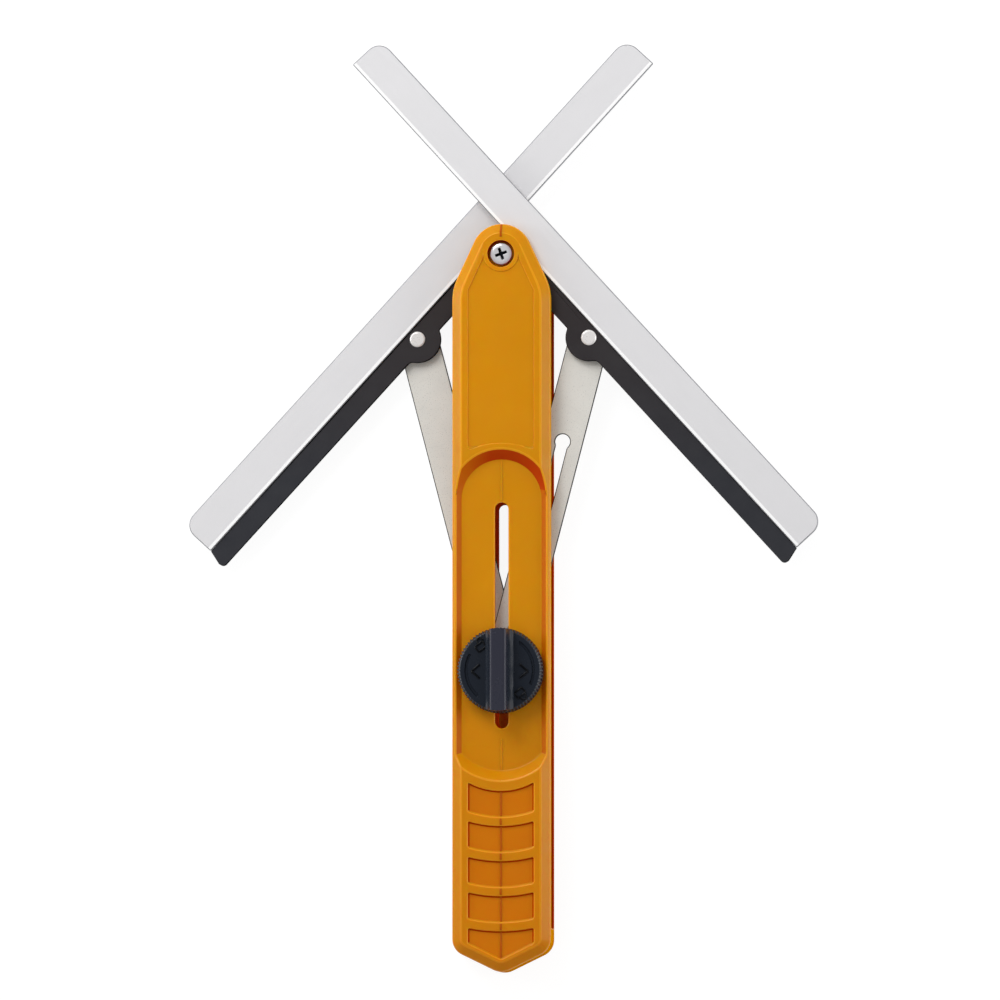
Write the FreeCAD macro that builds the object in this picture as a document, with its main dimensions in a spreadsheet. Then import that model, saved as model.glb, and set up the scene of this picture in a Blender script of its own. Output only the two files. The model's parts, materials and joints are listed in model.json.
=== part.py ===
"""Angle finder with two folding arms: a bisecting bevel gauge with a sliding clamp knob.

The tool lies on its back. X runs across the handle, +Y towards the nose, +Z towards the knob.
The origin is the pivot axis of the arms, on the flat back face of the handle.
"""

import FreeCAD
import Part
import math
import operator
import os

import Sketcher

document = FreeCAD.newDocument("AngleFinder")
sheet = document.addObject("Spreadsheet::Sheet", "Sizes")


class Size:
    """A length or a plain number, kept both as its value and as a formula of the sheet's cells."""

    def __init__(self, value, formula):
        self.value = float(value)
        self.formula = formula

    def combine(self, other, sign, swap=False):
        first, second = (size(other), self) if swap else (self, size(other))
        work = {"+": operator.add, "-": operator.sub, "*": operator.mul, "/": operator.truediv}[sign]
        formula = "({} {} {})".format(first.formula, sign, second.formula)
        return Size(work(first.value, second.value), formula)

    def __add__(self, other):
        return self.combine(other, "+")

    def __radd__(self, other):
        return self.combine(other, "+", swap=True)

    def __sub__(self, other):
        return self.combine(other, "-")

    def __rsub__(self, other):
        return self.combine(other, "-", swap=True)

    def __mul__(self, other):
        return self.combine(other, "*")

    def __rmul__(self, other):
        return self.combine(other, "*", swap=True)

    def __truediv__(self, other):
        return self.combine(other, "/")

    def __rtruediv__(self, other):
        return self.combine(other, "/", swap=True)

    def __neg__(self):
        return Size(-self.value, "(-1 * {})".format(self.formula))


def size(number):
    """A size as it is, and a plain number as a size."""
    return number if isinstance(number, Size) else Size(number, repr(float(number)))


def sine(angle):
    return Size(math.sin(math.radians(angle.value)), "sin({})".format(angle.formula))


def cosine(angle):
    return Size(math.cos(math.radians(angle.value)), "cos({})".format(angle.formula))


def tangent(angle):
    return Size(math.tan(math.radians(angle.value)), "tan({})".format(angle.formula))


def root(square):
    return Size(math.sqrt(square.value), "sqrt({})".format(square.formula))


class Cells:
    """The sheet's driving sizes, each by its name."""

    def __getattr__(self, name):
        return Size(SIZES[name], "Sizes." + name)


cell = Cells()
ZERO = Size(0, "0")
QUARTER_TURN = Size(90, "90")
HALF_CORNER_ANGLE = Size(30, "30")

# Plain shares and counts
strip_end_share = 0.72
knob_bar_waist_share = 0.62
grip_rise_shares = ((1.0, 0.66), (0.57, 0.56), (0.49, 0.49), (0.46, 0.41), (0.38, 0.0))
HOLLOW_COUNT = 4

SIZES = {
    # Handle outline, seen from the front
    "handle_width": 37.0,
    "tail_end_length": 15.0,
    "nose_radius": 11.3,
    "nose_taper_angle": 25.0,
    "shoulder_radius": 20.0,
    "tail_slope_angle": 26.0,
    "tail_tip_radius": 7.0,
    "tail_corner_radius": 6.4,

    # Shell thicknesses and edge chamfers
    "back_thickness": 3.8,
    "front_thickness": 5.6,
    "front_chamfer_width": 3.5,
    "front_chamfer_depth": 2.6,
    "back_chamfer_width": 2.4,
    "back_chamfer_depth": 1.4,
    "tail_block_length": 16.4,

    # Layers between the shells, from the back to the front
    "link_thickness": 1.2,
    "arm_height": 3.1,
    "link_back_clearance": 0.2,
    "link_arm_clearance": 0.1,
    "arm_link_clearance": 0.4,
    "arm_front_clearance": 0.2,
    "face_clearance": 0.05,
    "running_clearance": 0.05,
    "cut_overrun": 1.0,

    # Clamp slot and thumb recess
    "slot_width": 5.0,
    "back_slot_width": 4.4,
    "clamp_travel_up": 60.53,
    "clamp_travel_down": 18.97,
    "recess_depth": 3.4,
    "recess_wall_run": 3.95,
    "recess_width": 38.0,
    "recess_top_gap": 20.1,
    "recess_bottom_gap": 19.8,
    "recess_bottom_radius": 24.2,

    # Shallow panel above the recess
    "panel_width": 24.8,
    "panel_depth": 0.4,
    "panel_shoulder": 13.7,
    "panel_recess_gap": 2.0,
    "panel_bottom_rise": 2.3,
    "panel_corner_radius": 1.0,
    "screw_ring_radius": 6.6,

    # Grip pockets
    "grip_width": 24.6,
    "grip_depth": 1.0,
    "grip_recess_gap": 3.8,
    "grip_pitch": 13.1,
    "grip_height": 9.65,
    "grip_first_rise": 3.2,
    "grip_tail_rim": 4.6,

    # Hollows behind the front shell
    "hollow_skin": 2.0,
    "hollow_width": 24.0,
    "hollow_rib": 1.6,
    "hollow_panel_start": 15.0,
    "hollow_panel_gap": 2.0,
    "hollow_recess_gap": 2.6,
    "hollow_tail_gap": 3.2,

    # Pivot screw, nut, sleeve and washer
    "pivot_screw_diameter": 4.0,
    "pivot_hole_diameter": 4.2,
    "pivot_head_diameter": 8.0,
    "pivot_head_height": 2.4,
    "pivot_head_round": 0.9,
    "pivot_counterbore_diameter": 10.1,
    "cross_length": 4.6,
    "cross_width": 1.1,
    "cross_depth": 1.5,
    "cross_turn_angle": 20.0,
    "pivot_nut_flats": 7.0,
    "pivot_nut_thickness": 2.2,
    "sleeve_diameter": 6.0,
    "pivot_washer_diameter": 12.4,

    # Arm carriers
    "arm_angle": 42.5,
    "hub_diameter": 13.2,
    "strip_inner_edge": 0.85,
    "strip_thickness": 2.5,
    "strip_end_bulge": 1.5,
    "strip_corner_radius": 1.7,
    "tongue_thickness": 1.1,
    "tongue_reach": 10.0,
    "tongue_start": 7.0,
    "tongue_end_gap": 2.5,
    "lug_radius": 8.8,
    "lug_blend_radius": 2.5,
    "rivet_distance": 45.0,
    "rivet_offset": 2.8,

    # Sliding blades and the dovetail rails that they slide on
    "blade_edge_offset": 6.9,
    "blade_side_gap": 0.1,
    "blade_width": 14.0,
    "blade_length": 247.0,
    "blade_overhang": 91.0,
    "blade_corner_radius": 5.6,
    "blade_travel": 90.0,
    "rail_width": 4.0,
    "rail_flare": 0.5,
    "rail_height": 0.95,
    "rail_start": 10.0,
    "rail_end_gap": 6.0,
    "rail_clearance": 0.08,
    "stop_pin_diameter": 2.0,
    "stop_pin_depth": 0.4,
    "stop_clearance": 0.3,

    # Links and rivets
    "link_width": 15.2,
    "link_length": 129.0,
    "keyhole_distance": 40.1,
    "keyhole_diameter": 5.6,
    "link_slot_width": 4.2,
    "rivet_diameter": 4.0,
    "rivet_head_diameter": 6.0,
    "rivet_head_height": 0.55,
    "rivet_tail_diameter": 5.6,
    "rivet_tail_height": 0.5,

    # Clamp stud, slider, spacers and washer
    "stud_diameter": 4.0,
    "slider_width": 10.4,
    "slider_length": 44.0,
    "slider_thickness": 1.6,
    "slider_sink": 0.2,
    "slider_corner_radius": 2.0,
    "clamp_track_width": 10.8,
    "clamp_track_corner_radius": 2.1,
    "slide_clearance": 0.08,
    "spacer_diameter": 9.0,
    "clamp_washer_diameter": 14.0,
    "clamp_washer_thickness": 0.6,

    # Clamp knob
    "knob_diameter": 32.0,
    "knob_height": 6.4,
    "knob_bottom_chamfer": 1.4,
    "knob_top_chamfer_width": 2.0,
    "knob_top_chamfer_depth": 0.9,
    "knob_bar_width": 10.8,
    "knob_bar_top_width": 4.6,
    "knob_bar_height": 8.0,
    "knob_bar_end_inset": 0.6,
    "stud_engagement": 4.5,

    # Screws that close the tail
    "end_screw_diameter": 3.0,
    "end_screw_head_diameter": 5.6,
    "end_screw_head_height": 1.6,
    "end_screw_head_sink": 0.4,
    "end_screw_bite": 6.0,
    "end_screw_spacing": 17.0,
    "end_screw_tail_gap": 11.0,
}

for row, (name, value) in enumerate(SIZES.items(), 1):
    sheet.set("A{}".format(row), name)
    sheet.set("B{}".format(row), str(value))
    sheet.setAlias("B{}".format(row), name)

# Heights of the layers
link_left_bottom = cell.back_thickness + cell.link_back_clearance
arm_left_bottom = link_left_bottom + cell.link_thickness + cell.link_arm_clearance
link_right_bottom = arm_left_bottom + cell.arm_height + cell.arm_link_clearance
arm_right_bottom = link_right_bottom + cell.link_thickness + cell.link_arm_clearance
front_bottom = arm_right_bottom + cell.arm_height + cell.arm_front_clearance
front_top = front_bottom + cell.front_thickness
recess_floor = front_top - cell.recess_depth
parting_height = (cell.back_thickness + front_bottom) / 2

# Places of the linkage in the photographed pose
rivet_x = cell.rivet_distance * sine(cell.arm_angle) + cell.rivet_offset * cosine(cell.arm_angle)
rivet_y = cell.rivet_offset * sine(cell.arm_angle) - cell.rivet_distance * cosine(cell.arm_angle)
link_drop = root(cell.link_length * cell.link_length - rivet_x * rivet_x)
clamp_y = rivet_y - link_drop
link_angle = Size(
    math.degrees(math.asin(rivet_x.value / cell.link_length.value)),
    "asin({} / {})".format(rivet_x.formula, cell.link_length.formula))

# Distances from the pivot along the handle, which the clamp's travel sets
slot_start = -clamp_y - cell.clamp_travel_up - cell.slot_width / 2
slot_end = cell.clamp_travel_down + cell.slot_width / 2 - clamp_y
recess_top = slot_start - cell.recess_top_gap
recess_bottom = slot_end + cell.recess_bottom_gap
panel_bottom = recess_top - cell.panel_recess_gap
grip_start = recess_bottom + cell.grip_recess_gap
tail_end = grip_start + (len(grip_rise_shares) - 1) * cell.grip_pitch + cell.tail_end_length
tail_block_start = tail_end - cell.tail_block_length

# Distances from the pivot along an arm, which the blade sets
strip_length = cell.blade_length - cell.blade_overhang
rail_end = strip_length - cell.rail_end_gap


def plane(body, role):
    return [item for item in body.Origin.OriginFeatures if item.Role == role][0]


def new_body(name):
    body = document.addObject("PartDesign::Body", name)
    body.Label = name
    return body


def new_sketch(body, name, height=ZERO, role="XY_Plane"):
    """A sketch on one of the body's own origin planes, moved along its normal by height."""
    sketch = body.newObject("Sketcher::SketchObject", name)
    sketch.AttachmentSupport = (plane(body, role), [""])
    sketch.MapMode = "FlatFace"
    if height.value:
        sketch.setExpression("AttachmentOffset.Base.z", height.formula)
    return sketch


def fix_coordinate(sketch, kind, item, point, place):
    """Tie one coordinate of a sketch point to a size."""
    if place.value == 0:
        axis = -2 if kind == "DistanceX" else -1
        sketch.addConstraint(Sketcher.Constraint("PointOnObject", item, point, axis))
        return
    number = sketch.addConstraint(Sketcher.Constraint(kind, -1, 1, item, point, place.value))
    sketch.setExpression("Constraints[{}]".format(number), place.formula)


def draw_circle(sketch, x, y, radius):
    centre = FreeCAD.Vector(x.value, y.value, 0)
    number = sketch.addGeometry(Part.Circle(centre, FreeCAD.Vector(0, 0, 1), radius.value), False)
    fix_coordinate(sketch, "DistanceX", number, 3, x)
    fix_coordinate(sketch, "DistanceY", number, 3, y)
    bound = sketch.addConstraint(Sketcher.Constraint("Radius", number, radius.value))
    sketch.setExpression("Constraints[{}]".format(bound), radius.formula)


def arc_centre(start, end, axis, place):
    """The centre on the chord's bisector that has the given x or y."""
    middle = ((start[0].value + end[0].value) / 2, (start[1].value + end[1].value) / 2)
    along = (start[1].value - end[1].value, end[0].value - start[0].value)
    other = 0 if axis == "x" else 1
    step = (place.value - middle[other]) / along[other]
    return middle[0] + along[0] * step, middle[1] + along[1] * step


def draw_outline(sketch, corners):
    """A closed outline. A corner is (x, y) where a line arrives, or (x, y, turn, axis, place)
    where an arc arrives that turns left or right about a centre with that x or y."""
    count = len(corners)
    ends = []
    for index, corner in enumerate(corners):
        before = corners[index - 1]
        start = FreeCAD.Vector(before[0].value, before[1].value, 0)
        end = FreeCAD.Vector(corner[0].value, corner[1].value, 0)
        if len(corner) == 2:
            number = sketch.addGeometry(Part.LineSegment(start, end), False)
            ends.append((number, 1, 2))
            continue
        turn, axis, place = corner[2:]
        x, y = arc_centre(before, corner, axis, place)
        centre = FreeCAD.Vector(x, y, 0)
        circle = Part.Circle(centre, FreeCAD.Vector(0, 0, 1), (start - centre).Length)
        first, last = (start, end) if turn == "left" else (end, start)
        from_angle = math.atan2(first.y - y, first.x - x)
        to_angle = math.atan2(last.y - y, last.x - x)
        if to_angle <= from_angle:
            to_angle += 2 * math.pi
        number = sketch.addGeometry(Part.ArcOfCircle(circle, from_angle, to_angle), False)
        ends.append((number, 1, 2) if turn == "left" else (number, 2, 1))
        fix_coordinate(sketch, "Distance" + axis.upper(), number, 3, place)
    for index, corner in enumerate(corners):
        number, _, last = ends[index]
        following, first, _ = ends[(index + 1) % count]
        sketch.addConstraint(Sketcher.Constraint("Coincident", number, last, following, first))
        fix_coordinate(sketch, "DistanceX", number, last, corner[0])
        fix_coordinate(sketch, "DistanceY", number, last, corner[1])


def rectangle(x_low, x_high, y_low, y_high):
    return [(x_low, y_low), (x_high, y_low), (x_high, y_high), (x_low, y_high)]


def long_hole(half_width, y_high, y_low):
    """The outline of a slot along Y whose round ends are centred on the two places."""
    return [(-half_width, y_low), (half_width, y_low, "left", "y", y_low),
            (half_width, y_high), (-half_width, y_high, "left", "y", y_high)]


def sided(side, corners):
    """Corners for one side: on the left they are mirrored and their arcs turn the other way."""
    if side > 0:
        return corners
    other = {"left": "right", "right": "left"}
    turned = []
    for corner in corners:
        place = [-corner[0], corner[1]]
        if len(corner) > 2:
            centre = -corner[4] if corner[3] == "x" else corner[4]
            place += [other[corner[2]], corner[3], centre]
        turned.append(tuple(place))
    return turned


def pad(body, name, corners, bottom, height):
    sketch = new_sketch(body, name + "_sketch", bottom)
    draw_outline(sketch, corners)
    feature = body.newObject("PartDesign::Pad", name)
    feature.Profile = sketch
    feature.setExpression("Length", height.formula)
    document.recompute()
    return feature


def pad_disc(body, name, x, y, radius, bottom, height):
    sketch = new_sketch(body, name + "_sketch", bottom)
    draw_circle(sketch, x, y, radius)
    feature = body.newObject("PartDesign::Pad", name)
    feature.Profile = sketch
    feature.setExpression("Length", height.formula)
    document.recompute()
    return feature


def cut_down(body, name, draw, top, depth):
    """A pocket from the height top down by depth. draw fills the sketch."""
    before = body.Shape.Volume
    sketch = new_sketch(body, name + "_sketch", top)
    draw(sketch)
    feature = body.newObject("PartDesign::Pocket", name)
    feature.Profile = sketch
    feature.setExpression("Length", depth.formula)
    document.recompute()
    if not body.Shape.Volume < before:
        raise ValueError(name + " cuts nothing")
    return feature


def upright_edges(shape, places):
    """Names of the edges along Z that stand at the given places."""
    names = []
    for x, y in places:
        gaps = []
        for index, edge in enumerate(shape.Edges):
            first, last = edge.Vertexes[0].Point, edge.Vertexes[-1].Point
            level = math.hypot(first.x - last.x, first.y - last.y)
            if level < first.distanceToPoint(last) / 1000:
                gaps.append((math.hypot(first.x - x.value, first.y - y.value), index + 1))
        names.append("Edge{}".format(min(gaps)[1]))
    return names


def round_edges(body, name, places, radius):
    base = body.Tip
    feature = body.newObject("PartDesign::Fillet", name)
    feature.Base = (base, upright_edges(base.Shape, places))
    feature.setExpression("Radius", radius.formula)
    document.recompute()
    return feature


def rim_edges(shape, height):
    """Names of the outer edges of the flat face that lies at a height."""
    best = None
    for face in shape.Faces:
        box = face.BoundBox
        if abs(box.ZMax - height.value) + abs(box.ZMin - height.value) < 1e-6:
            if best is None or face.Area > best.Area:
                best = face
    names = []
    for edge in best.OuterWire.Edges:
        for index, other in enumerate(shape.Edges):
            if edge.isSame(other):
                names.append("Edge{}".format(index + 1))
    return names


def bevel_rim(body, name, height, width, depth):
    """Chamfer the outer rim at a height: width across the face, depth down the wall."""
    base = body.Tip
    feature = body.newObject("PartDesign::Chamfer", name)
    feature.Base = (base, rim_edges(base.Shape, height))
    feature.ChamferType = "Two distances"
    feature.setExpression("Size", depth.formula)
    feature.setExpression("Size2", width.formula)
    document.recompute()
    return feature


def turn_section(body, name, corners):
    """Turn a section about Z. Its corners are (radius, height)."""
    sketch = new_sketch(body, name + "_section", role="XZ_Plane")
    draw_outline(sketch, corners)
    feature = body.newObject("PartDesign::Revolution", name + "_turn")
    feature.Profile = sketch
    feature.ReferenceAxis = (sketch, ["V_Axis"])
    feature.Angle = 360.0
    document.recompute()
    return body


def turned(name, corners):
    """A round piece about Z. Its corners are (radius, height)."""
    return turn_section(new_body(name), name, corners)


def ring(name, outer_radius, inner_radius, bottom, height):
    body = new_body(name)
    sketch = new_sketch(body, name + "_sketch", bottom)
    draw_circle(sketch, ZERO, ZERO, outer_radius)
    draw_circle(sketch, ZERO, ZERO, inner_radius)
    feature = body.newObject("PartDesign::Pad", name + "_pad")
    feature.Profile = sketch
    feature.setExpression("Length", height.formula)
    document.recompute()
    return body


def place(item, x, y, z=ZERO, turn=None):
    """Set an item's place, with an optional turn about Z, from sizes."""
    angle = turn.value if turn is not None else 0
    item.Placement = FreeCAD.Placement(
        FreeCAD.Vector(x.value, y.value, z.value), FreeCAD.Rotation(FreeCAD.Vector(0, 0, 1), angle))
    item.setExpression("Placement.Base.x", x.formula)
    item.setExpression("Placement.Base.y", y.formula)
    item.setExpression("Placement.Base.z", z.formula)
    if turn is not None:
        item.Placement.Rotation.Axis = FreeCAD.Vector(0, 0, 1)
        item.setExpression("Placement.Rotation.Angle", turn.formula)
    return item


def group(name, items):
    """Like pieces that share one node as separate solids."""
    item = document.addObject("Part::Compound", name)
    item.Label = name
    item.Links = items
    document.recompute()
    return item


def handle_corners():
    """The handle's outline before its corners are rounded, from the nose round by the right."""
    half_width = cell.handle_width / 2
    nose_apex = cell.nose_radius / sine(cell.nose_taper_angle)
    shoulder = nose_apex - half_width / tangent(cell.nose_taper_angle)
    slope = tangent(cell.tail_slope_angle)
    tip = -tail_end - cell.tail_tip_radius * (1 / cosine(cell.tail_slope_angle) - 1)
    corner = tip + half_width * slope
    return [(ZERO, nose_apex), (-half_width, shoulder), (-half_width, corner),
            (ZERO, tip), (half_width, corner), (half_width, shoulder)]


def round_handle(body, name):
    corners = handle_corners()
    round_edges(body, name + "_nose_round", [corners[0]], cell.nose_radius)
    round_edges(body, name + "_shoulder_round", [corners[1], corners[5]], cell.shoulder_radius)
    round_edges(body, name + "_corner_round", [corners[2], corners[4]], cell.tail_corner_radius)
    round_edges(body, name + "_tip_round", [corners[3]], cell.tail_tip_radius)


def cut_gap(body, name, top, depth):
    """Open the folding gap from the nose down to the closed tail."""
    reach = cell.handle_width / 2 + cell.cut_overrun
    outline = rectangle(-reach, reach, -tail_block_start, handle_corners()[0][1] + cell.cut_overrun)
    cut_down(body, name, lambda sketch: draw_outline(sketch, outline), top, depth)


def end_screw_places():
    return [(side * cell.end_screw_spacing / 2, cell.end_screw_tail_gap - tail_end) for side in (-1, 1)]


def recess_outline(inset):
    """The thumb recess's outline, drawn in from its edge on the face by inset."""
    half_width = cell.recess_width / 2 - inset
    top_centre = -recess_top - cell.recess_width / 2
    radius = cell.recess_bottom_radius - inset
    bottom_centre = -recess_bottom + cell.recess_bottom_radius
    bottom_corner = bottom_centre - half_chord(radius, half_width)
    return [(-half_width, bottom_corner), (half_width, bottom_corner, "left", "y", bottom_centre),
            (half_width, top_centre), (-half_width, top_centre, "left", "y", top_centre)]


def cut_recess(body):
    """The thumb recess, whose walls slope in to its floor."""
    before = body.Shape.Volume
    slope = cell.recess_wall_run / cell.recess_depth
    low = new_sketch(body, "recess_floor_sketch", recess_floor)
    draw_outline(low, recess_outline(cell.recess_wall_run))
    high = new_sketch(body, "recess_mouth_sketch", front_top + cell.cut_overrun)
    draw_outline(high, recess_outline(-cell.cut_overrun * slope))
    feature = body.newObject("PartDesign::SubtractiveLoft", "recess")
    feature.Profile = low
    feature.Sections = [high]
    feature.Ruled = True
    document.recompute()
    if not body.Shape.Volume < before:
        raise ValueError("the recess cuts nothing")


def arc_radius(half_chord, rise):
    """The radius of an arc from half its chord and its rise."""
    return (half_chord * half_chord + rise * rise) / (2 * rise)


def half_chord(radius, distance):
    """Half the chord that a circle has at a distance from its centre."""
    return root(radius * radius - distance * distance)


def slot_outline(width):
    """The clamp slot of a shell, for the same travel of the stud at any width."""
    return long_hole(width / 2, clamp_y + cell.clamp_travel_up, clamp_y - cell.clamp_travel_down)


def panel_outline():
    """The panel's outline: it tapers beside the screw and ends in an arc above the recess."""
    half_width = cell.panel_width / 2
    rise = cell.panel_shoulder - cell.screw_ring_radius / 4
    top_half = half_width - rise * tangent(cell.nose_taper_angle)
    corner = -panel_bottom - cell.panel_bottom_rise
    radius = arc_radius(half_width, cell.panel_bottom_rise)
    return [(-half_width, corner), (half_width, corner, "right", "y", -panel_bottom - radius),
            (half_width, -cell.panel_shoulder), (top_half, -cell.panel_shoulder + rise),
            (cell.screw_ring_radius, ZERO), (-cell.screw_ring_radius, ZERO, "right", "y", ZERO),
            (-top_half, -cell.panel_shoulder + rise), (-half_width, -cell.panel_shoulder)]


def grip_outlines():
    """The grip pockets' outlines. Their edges bow towards the tail, the first one most."""
    half_width = cell.grip_width / 2
    outlines = []
    for index, (top_share, bottom_share) in enumerate(grip_rise_shares):
        top = -grip_start - index * cell.grip_pitch
        top_rise = cell.grip_first_rise * top_share
        top_radius = arc_radius(half_width, top_rise)
        arc = (half_width, top + top_rise), (-half_width, top + top_rise, "right", "y", top + top_radius)
        bottom_rise = cell.grip_first_rise * bottom_share
        if bottom_rise.value:
            bottom = top - cell.grip_height
            bottom_radius = arc_radius(half_width, bottom_rise)
            base = [(-half_width, bottom + bottom_rise),
                    (half_width, bottom + bottom_rise, "left", "y", bottom + bottom_radius)]
        else:
            tip = cell.grip_tail_rim - tail_end
            base = [(-half_width, tip + half_width * tangent(cell.tail_slope_angle)), (ZERO, tip),
                    (half_width, tip + half_width * tangent(cell.tail_slope_angle))]
        outlines.append(base + list(arc))
    return outlines


def hollow_outlines():
    """Hollows behind the panel and the grip, with ribs left between them."""
    half_width = cell.hollow_width / 2
    outlines = []
    behind_panel = (cell.hollow_panel_start, panel_bottom - cell.hollow_panel_gap)
    behind_grip = (recess_bottom + cell.hollow_recess_gap, tail_block_start - cell.hollow_tail_gap)
    for start, end in (behind_panel, behind_grip):
        length = (end - start - (HOLLOW_COUNT - 1) * cell.hollow_rib) / HOLLOW_COUNT
        for index in range(HOLLOW_COUNT):
            high = -start - index * (length + cell.hollow_rib)
            for side in (-1, 1):
                inner = side * cell.hollow_rib / 2
                outer = side * half_width
                low_x, high_x = (outer, inner) if side < 0 else (inner, outer)
                outlines.append(rectangle(low_x, high_x, high - length, high))
    return outlines


def make_front_shell():
    body = new_body("front_shell")
    pad(body, "front_block", handle_corners(), parting_height, front_top - parting_height)
    round_handle(body, "front")
    bevel_rim(body, "front_bevel", front_top, cell.front_chamfer_width, cell.front_chamfer_depth)
    cut_gap(body, "front_gap", front_bottom, front_bottom - parting_height + cell.cut_overrun)
    cut_recess(body)

    panel = panel_outline()
    cut_down(body, "panel", lambda sketch: draw_outline(sketch, panel), front_top, cell.panel_depth)
    round_edges(body, "panel_round", [corner[:2] for corner in panel[:2]], cell.panel_corner_radius)

    for index, outline in enumerate(grip_outlines()):
        name = "grip_pocket_{}".format(index + 1)
        cut_down(body, name, lambda sketch, outline=outline: draw_outline(sketch, outline),
                 front_top, cell.grip_depth)

    def draw_hollows(sketch):
        for outline in hollow_outlines():
            draw_outline(sketch, outline)

    hollow_depth = cell.front_thickness - cell.grip_depth - cell.hollow_skin
    cut_down(body, "hollows", draw_hollows, front_bottom + hollow_depth, hollow_depth)

    through = cell.front_thickness + cell.cut_overrun
    cut_down(body, "front_slot", lambda sketch: draw_outline(sketch, slot_outline(cell.slot_width)),
             front_top, through)
    cut_down(body, "screw_counterbore",
             lambda sketch: draw_circle(sketch, ZERO, ZERO, cell.pivot_counterbore_diameter / 2),
             front_top, cell.recess_depth)
    cut_down(body, "screw_hole",
             lambda sketch: draw_circle(sketch, ZERO, ZERO, cell.pivot_hole_diameter / 2),
             front_top, through)

    def draw_bores(sketch):
        for x, y in end_screw_places():
            draw_circle(sketch, x, y, cell.end_screw_diameter / 2)

    bite = cell.end_screw_bite
    cut_down(body, "end_screw_bores", draw_bores, parting_height + bite, bite + cell.cut_overrun)
    return body


def make_back_shell():
    body = new_body("back_shell")
    pad(body, "back_block", handle_corners(), ZERO, parting_height)
    round_handle(body, "back")
    bevel_rim(body, "back_bevel", ZERO, cell.back_chamfer_width, cell.back_chamfer_depth)
    gap_top = parting_height + cell.cut_overrun
    cut_gap(body, "back_gap", gap_top, gap_top - cell.back_thickness)

    cut_down(body, "back_slot", lambda sketch: draw_outline(sketch, slot_outline(cell.back_slot_width)),
             cell.back_thickness, cell.back_thickness + cell.cut_overrun)
    half_track = cell.clamp_track_width / 2
    end_room = half_track + (cell.slider_length - cell.slider_width) / 2
    track = rectangle(-half_track, half_track, clamp_y - cell.clamp_travel_down - end_room,
                      clamp_y + cell.clamp_travel_up + end_room)
    track_depth = cell.slider_thickness + cell.slider_sink
    cut_down(body, "slider_track", lambda sketch: draw_outline(sketch, track),
             track_depth, track_depth + cell.cut_overrun)
    round_edges(body, "slider_track_round", track, cell.clamp_track_corner_radius)
    cut_down(body, "nut_pocket", lambda sketch: draw_outline(sketch, hexagon(cell.pivot_nut_flats)),
             cell.back_thickness, cell.pivot_nut_thickness)

    def draw_holes(sketch):
        for x, y in end_screw_places():
            draw_circle(sketch, x, y, cell.end_screw_diameter / 2)

    def draw_heads(sketch):
        for x, y in end_screw_places():
            draw_circle(sketch, x, y, cell.end_screw_head_diameter / 2 + cell.slide_clearance)

    head_depth = cell.end_screw_head_height + cell.end_screw_head_sink
    cut_down(body, "end_screw_holes", draw_holes, parting_height, parting_height + cell.cut_overrun)
    cut_down(body, "end_screw_heads", draw_heads, head_depth, head_depth + cell.cut_overrun)
    return body


def hexagon(flats):
    """A hexagon with two corners on the Y axis, from the distance across its flats."""
    half_flats = flats / 2
    corner = half_flats / cosine(HALF_CORNER_ANGLE)
    return [(ZERO, corner), (-half_flats, corner / 2), (-half_flats, -corner / 2),
            (ZERO, -corner), (half_flats, -corner / 2), (half_flats, corner / 2)]


def make_pivot():
    """The pivot screw, its captive nut, the sleeve that the arms turn on, and the washer between them."""
    radius = cell.pivot_screw_diameter / 2
    head_radius = cell.pivot_head_diameter / 2
    head_top = recess_floor + cell.pivot_head_height
    nut_bottom = cell.back_thickness - cell.pivot_nut_thickness
    screw = turned("pivot_screw", [
        (ZERO, nut_bottom), (radius, nut_bottom), (radius, recess_floor), (head_radius, recess_floor),
        (head_radius, head_top - cell.pivot_head_round), (head_radius - cell.pivot_head_round, head_top),
        (ZERO, head_top)])
    half_length = cell.cross_length / 2
    half_width = cell.cross_width / 2
    for index, turn in enumerate((ZERO, QUARTER_TURN)):
        sketch = new_sketch(screw, "cross_{}_sketch".format(index + 1), head_top)
        sketch.setExpression("AttachmentOffset.Rotation.Angle", (cell.cross_turn_angle + turn).formula)
        draw_outline(sketch, rectangle(-half_length, half_length, -half_width, half_width))
        feature = screw.newObject("PartDesign::Pocket", "cross_{}".format(index + 1))
        feature.Profile = sketch
        feature.setExpression("Length", cell.cross_depth.formula)
        document.recompute()

    nut = new_body("pivot_nut")
    pad(nut, "nut_block", hexagon(cell.pivot_nut_flats), nut_bottom, cell.pivot_nut_thickness)
    cut_down(nut, "nut_bore", lambda sketch: draw_circle(sketch, ZERO, ZERO, radius),
             cell.back_thickness, cell.pivot_nut_thickness + cell.cut_overrun)

    sleeve_radius = cell.sleeve_diameter / 2
    ring("pivot_sleeve", sleeve_radius, radius, cell.back_thickness, front_bottom - cell.back_thickness)
    washer_bottom = arm_left_bottom + cell.arm_height + cell.face_clearance
    ring("pivot_washer", cell.pivot_washer_diameter / 2, sleeve_radius, washer_bottom,
         arm_right_bottom - cell.face_clearance - washer_bottom)


def make_end_screws():
    radius = cell.end_screw_diameter / 2
    head_radius = cell.end_screw_head_diameter / 2
    screws = []
    for index, (x, y) in enumerate(end_screw_places()):
        head_bottom = cell.end_screw_head_sink
        shoulder = cell.end_screw_head_sink + cell.end_screw_head_height
        screw = turned("end_screw_{}".format(index + 1), [
            (ZERO, head_bottom), (head_radius, head_bottom), (head_radius, shoulder), (radius, shoulder),
            (radius, parting_height + cell.end_screw_bite), (ZERO, parting_height + cell.end_screw_bite)])
        screws.append(place(screw, x, y))
    return group("end_screws", screws)


def side_name(side):
    return "right" if side > 0 else "left"


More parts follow.
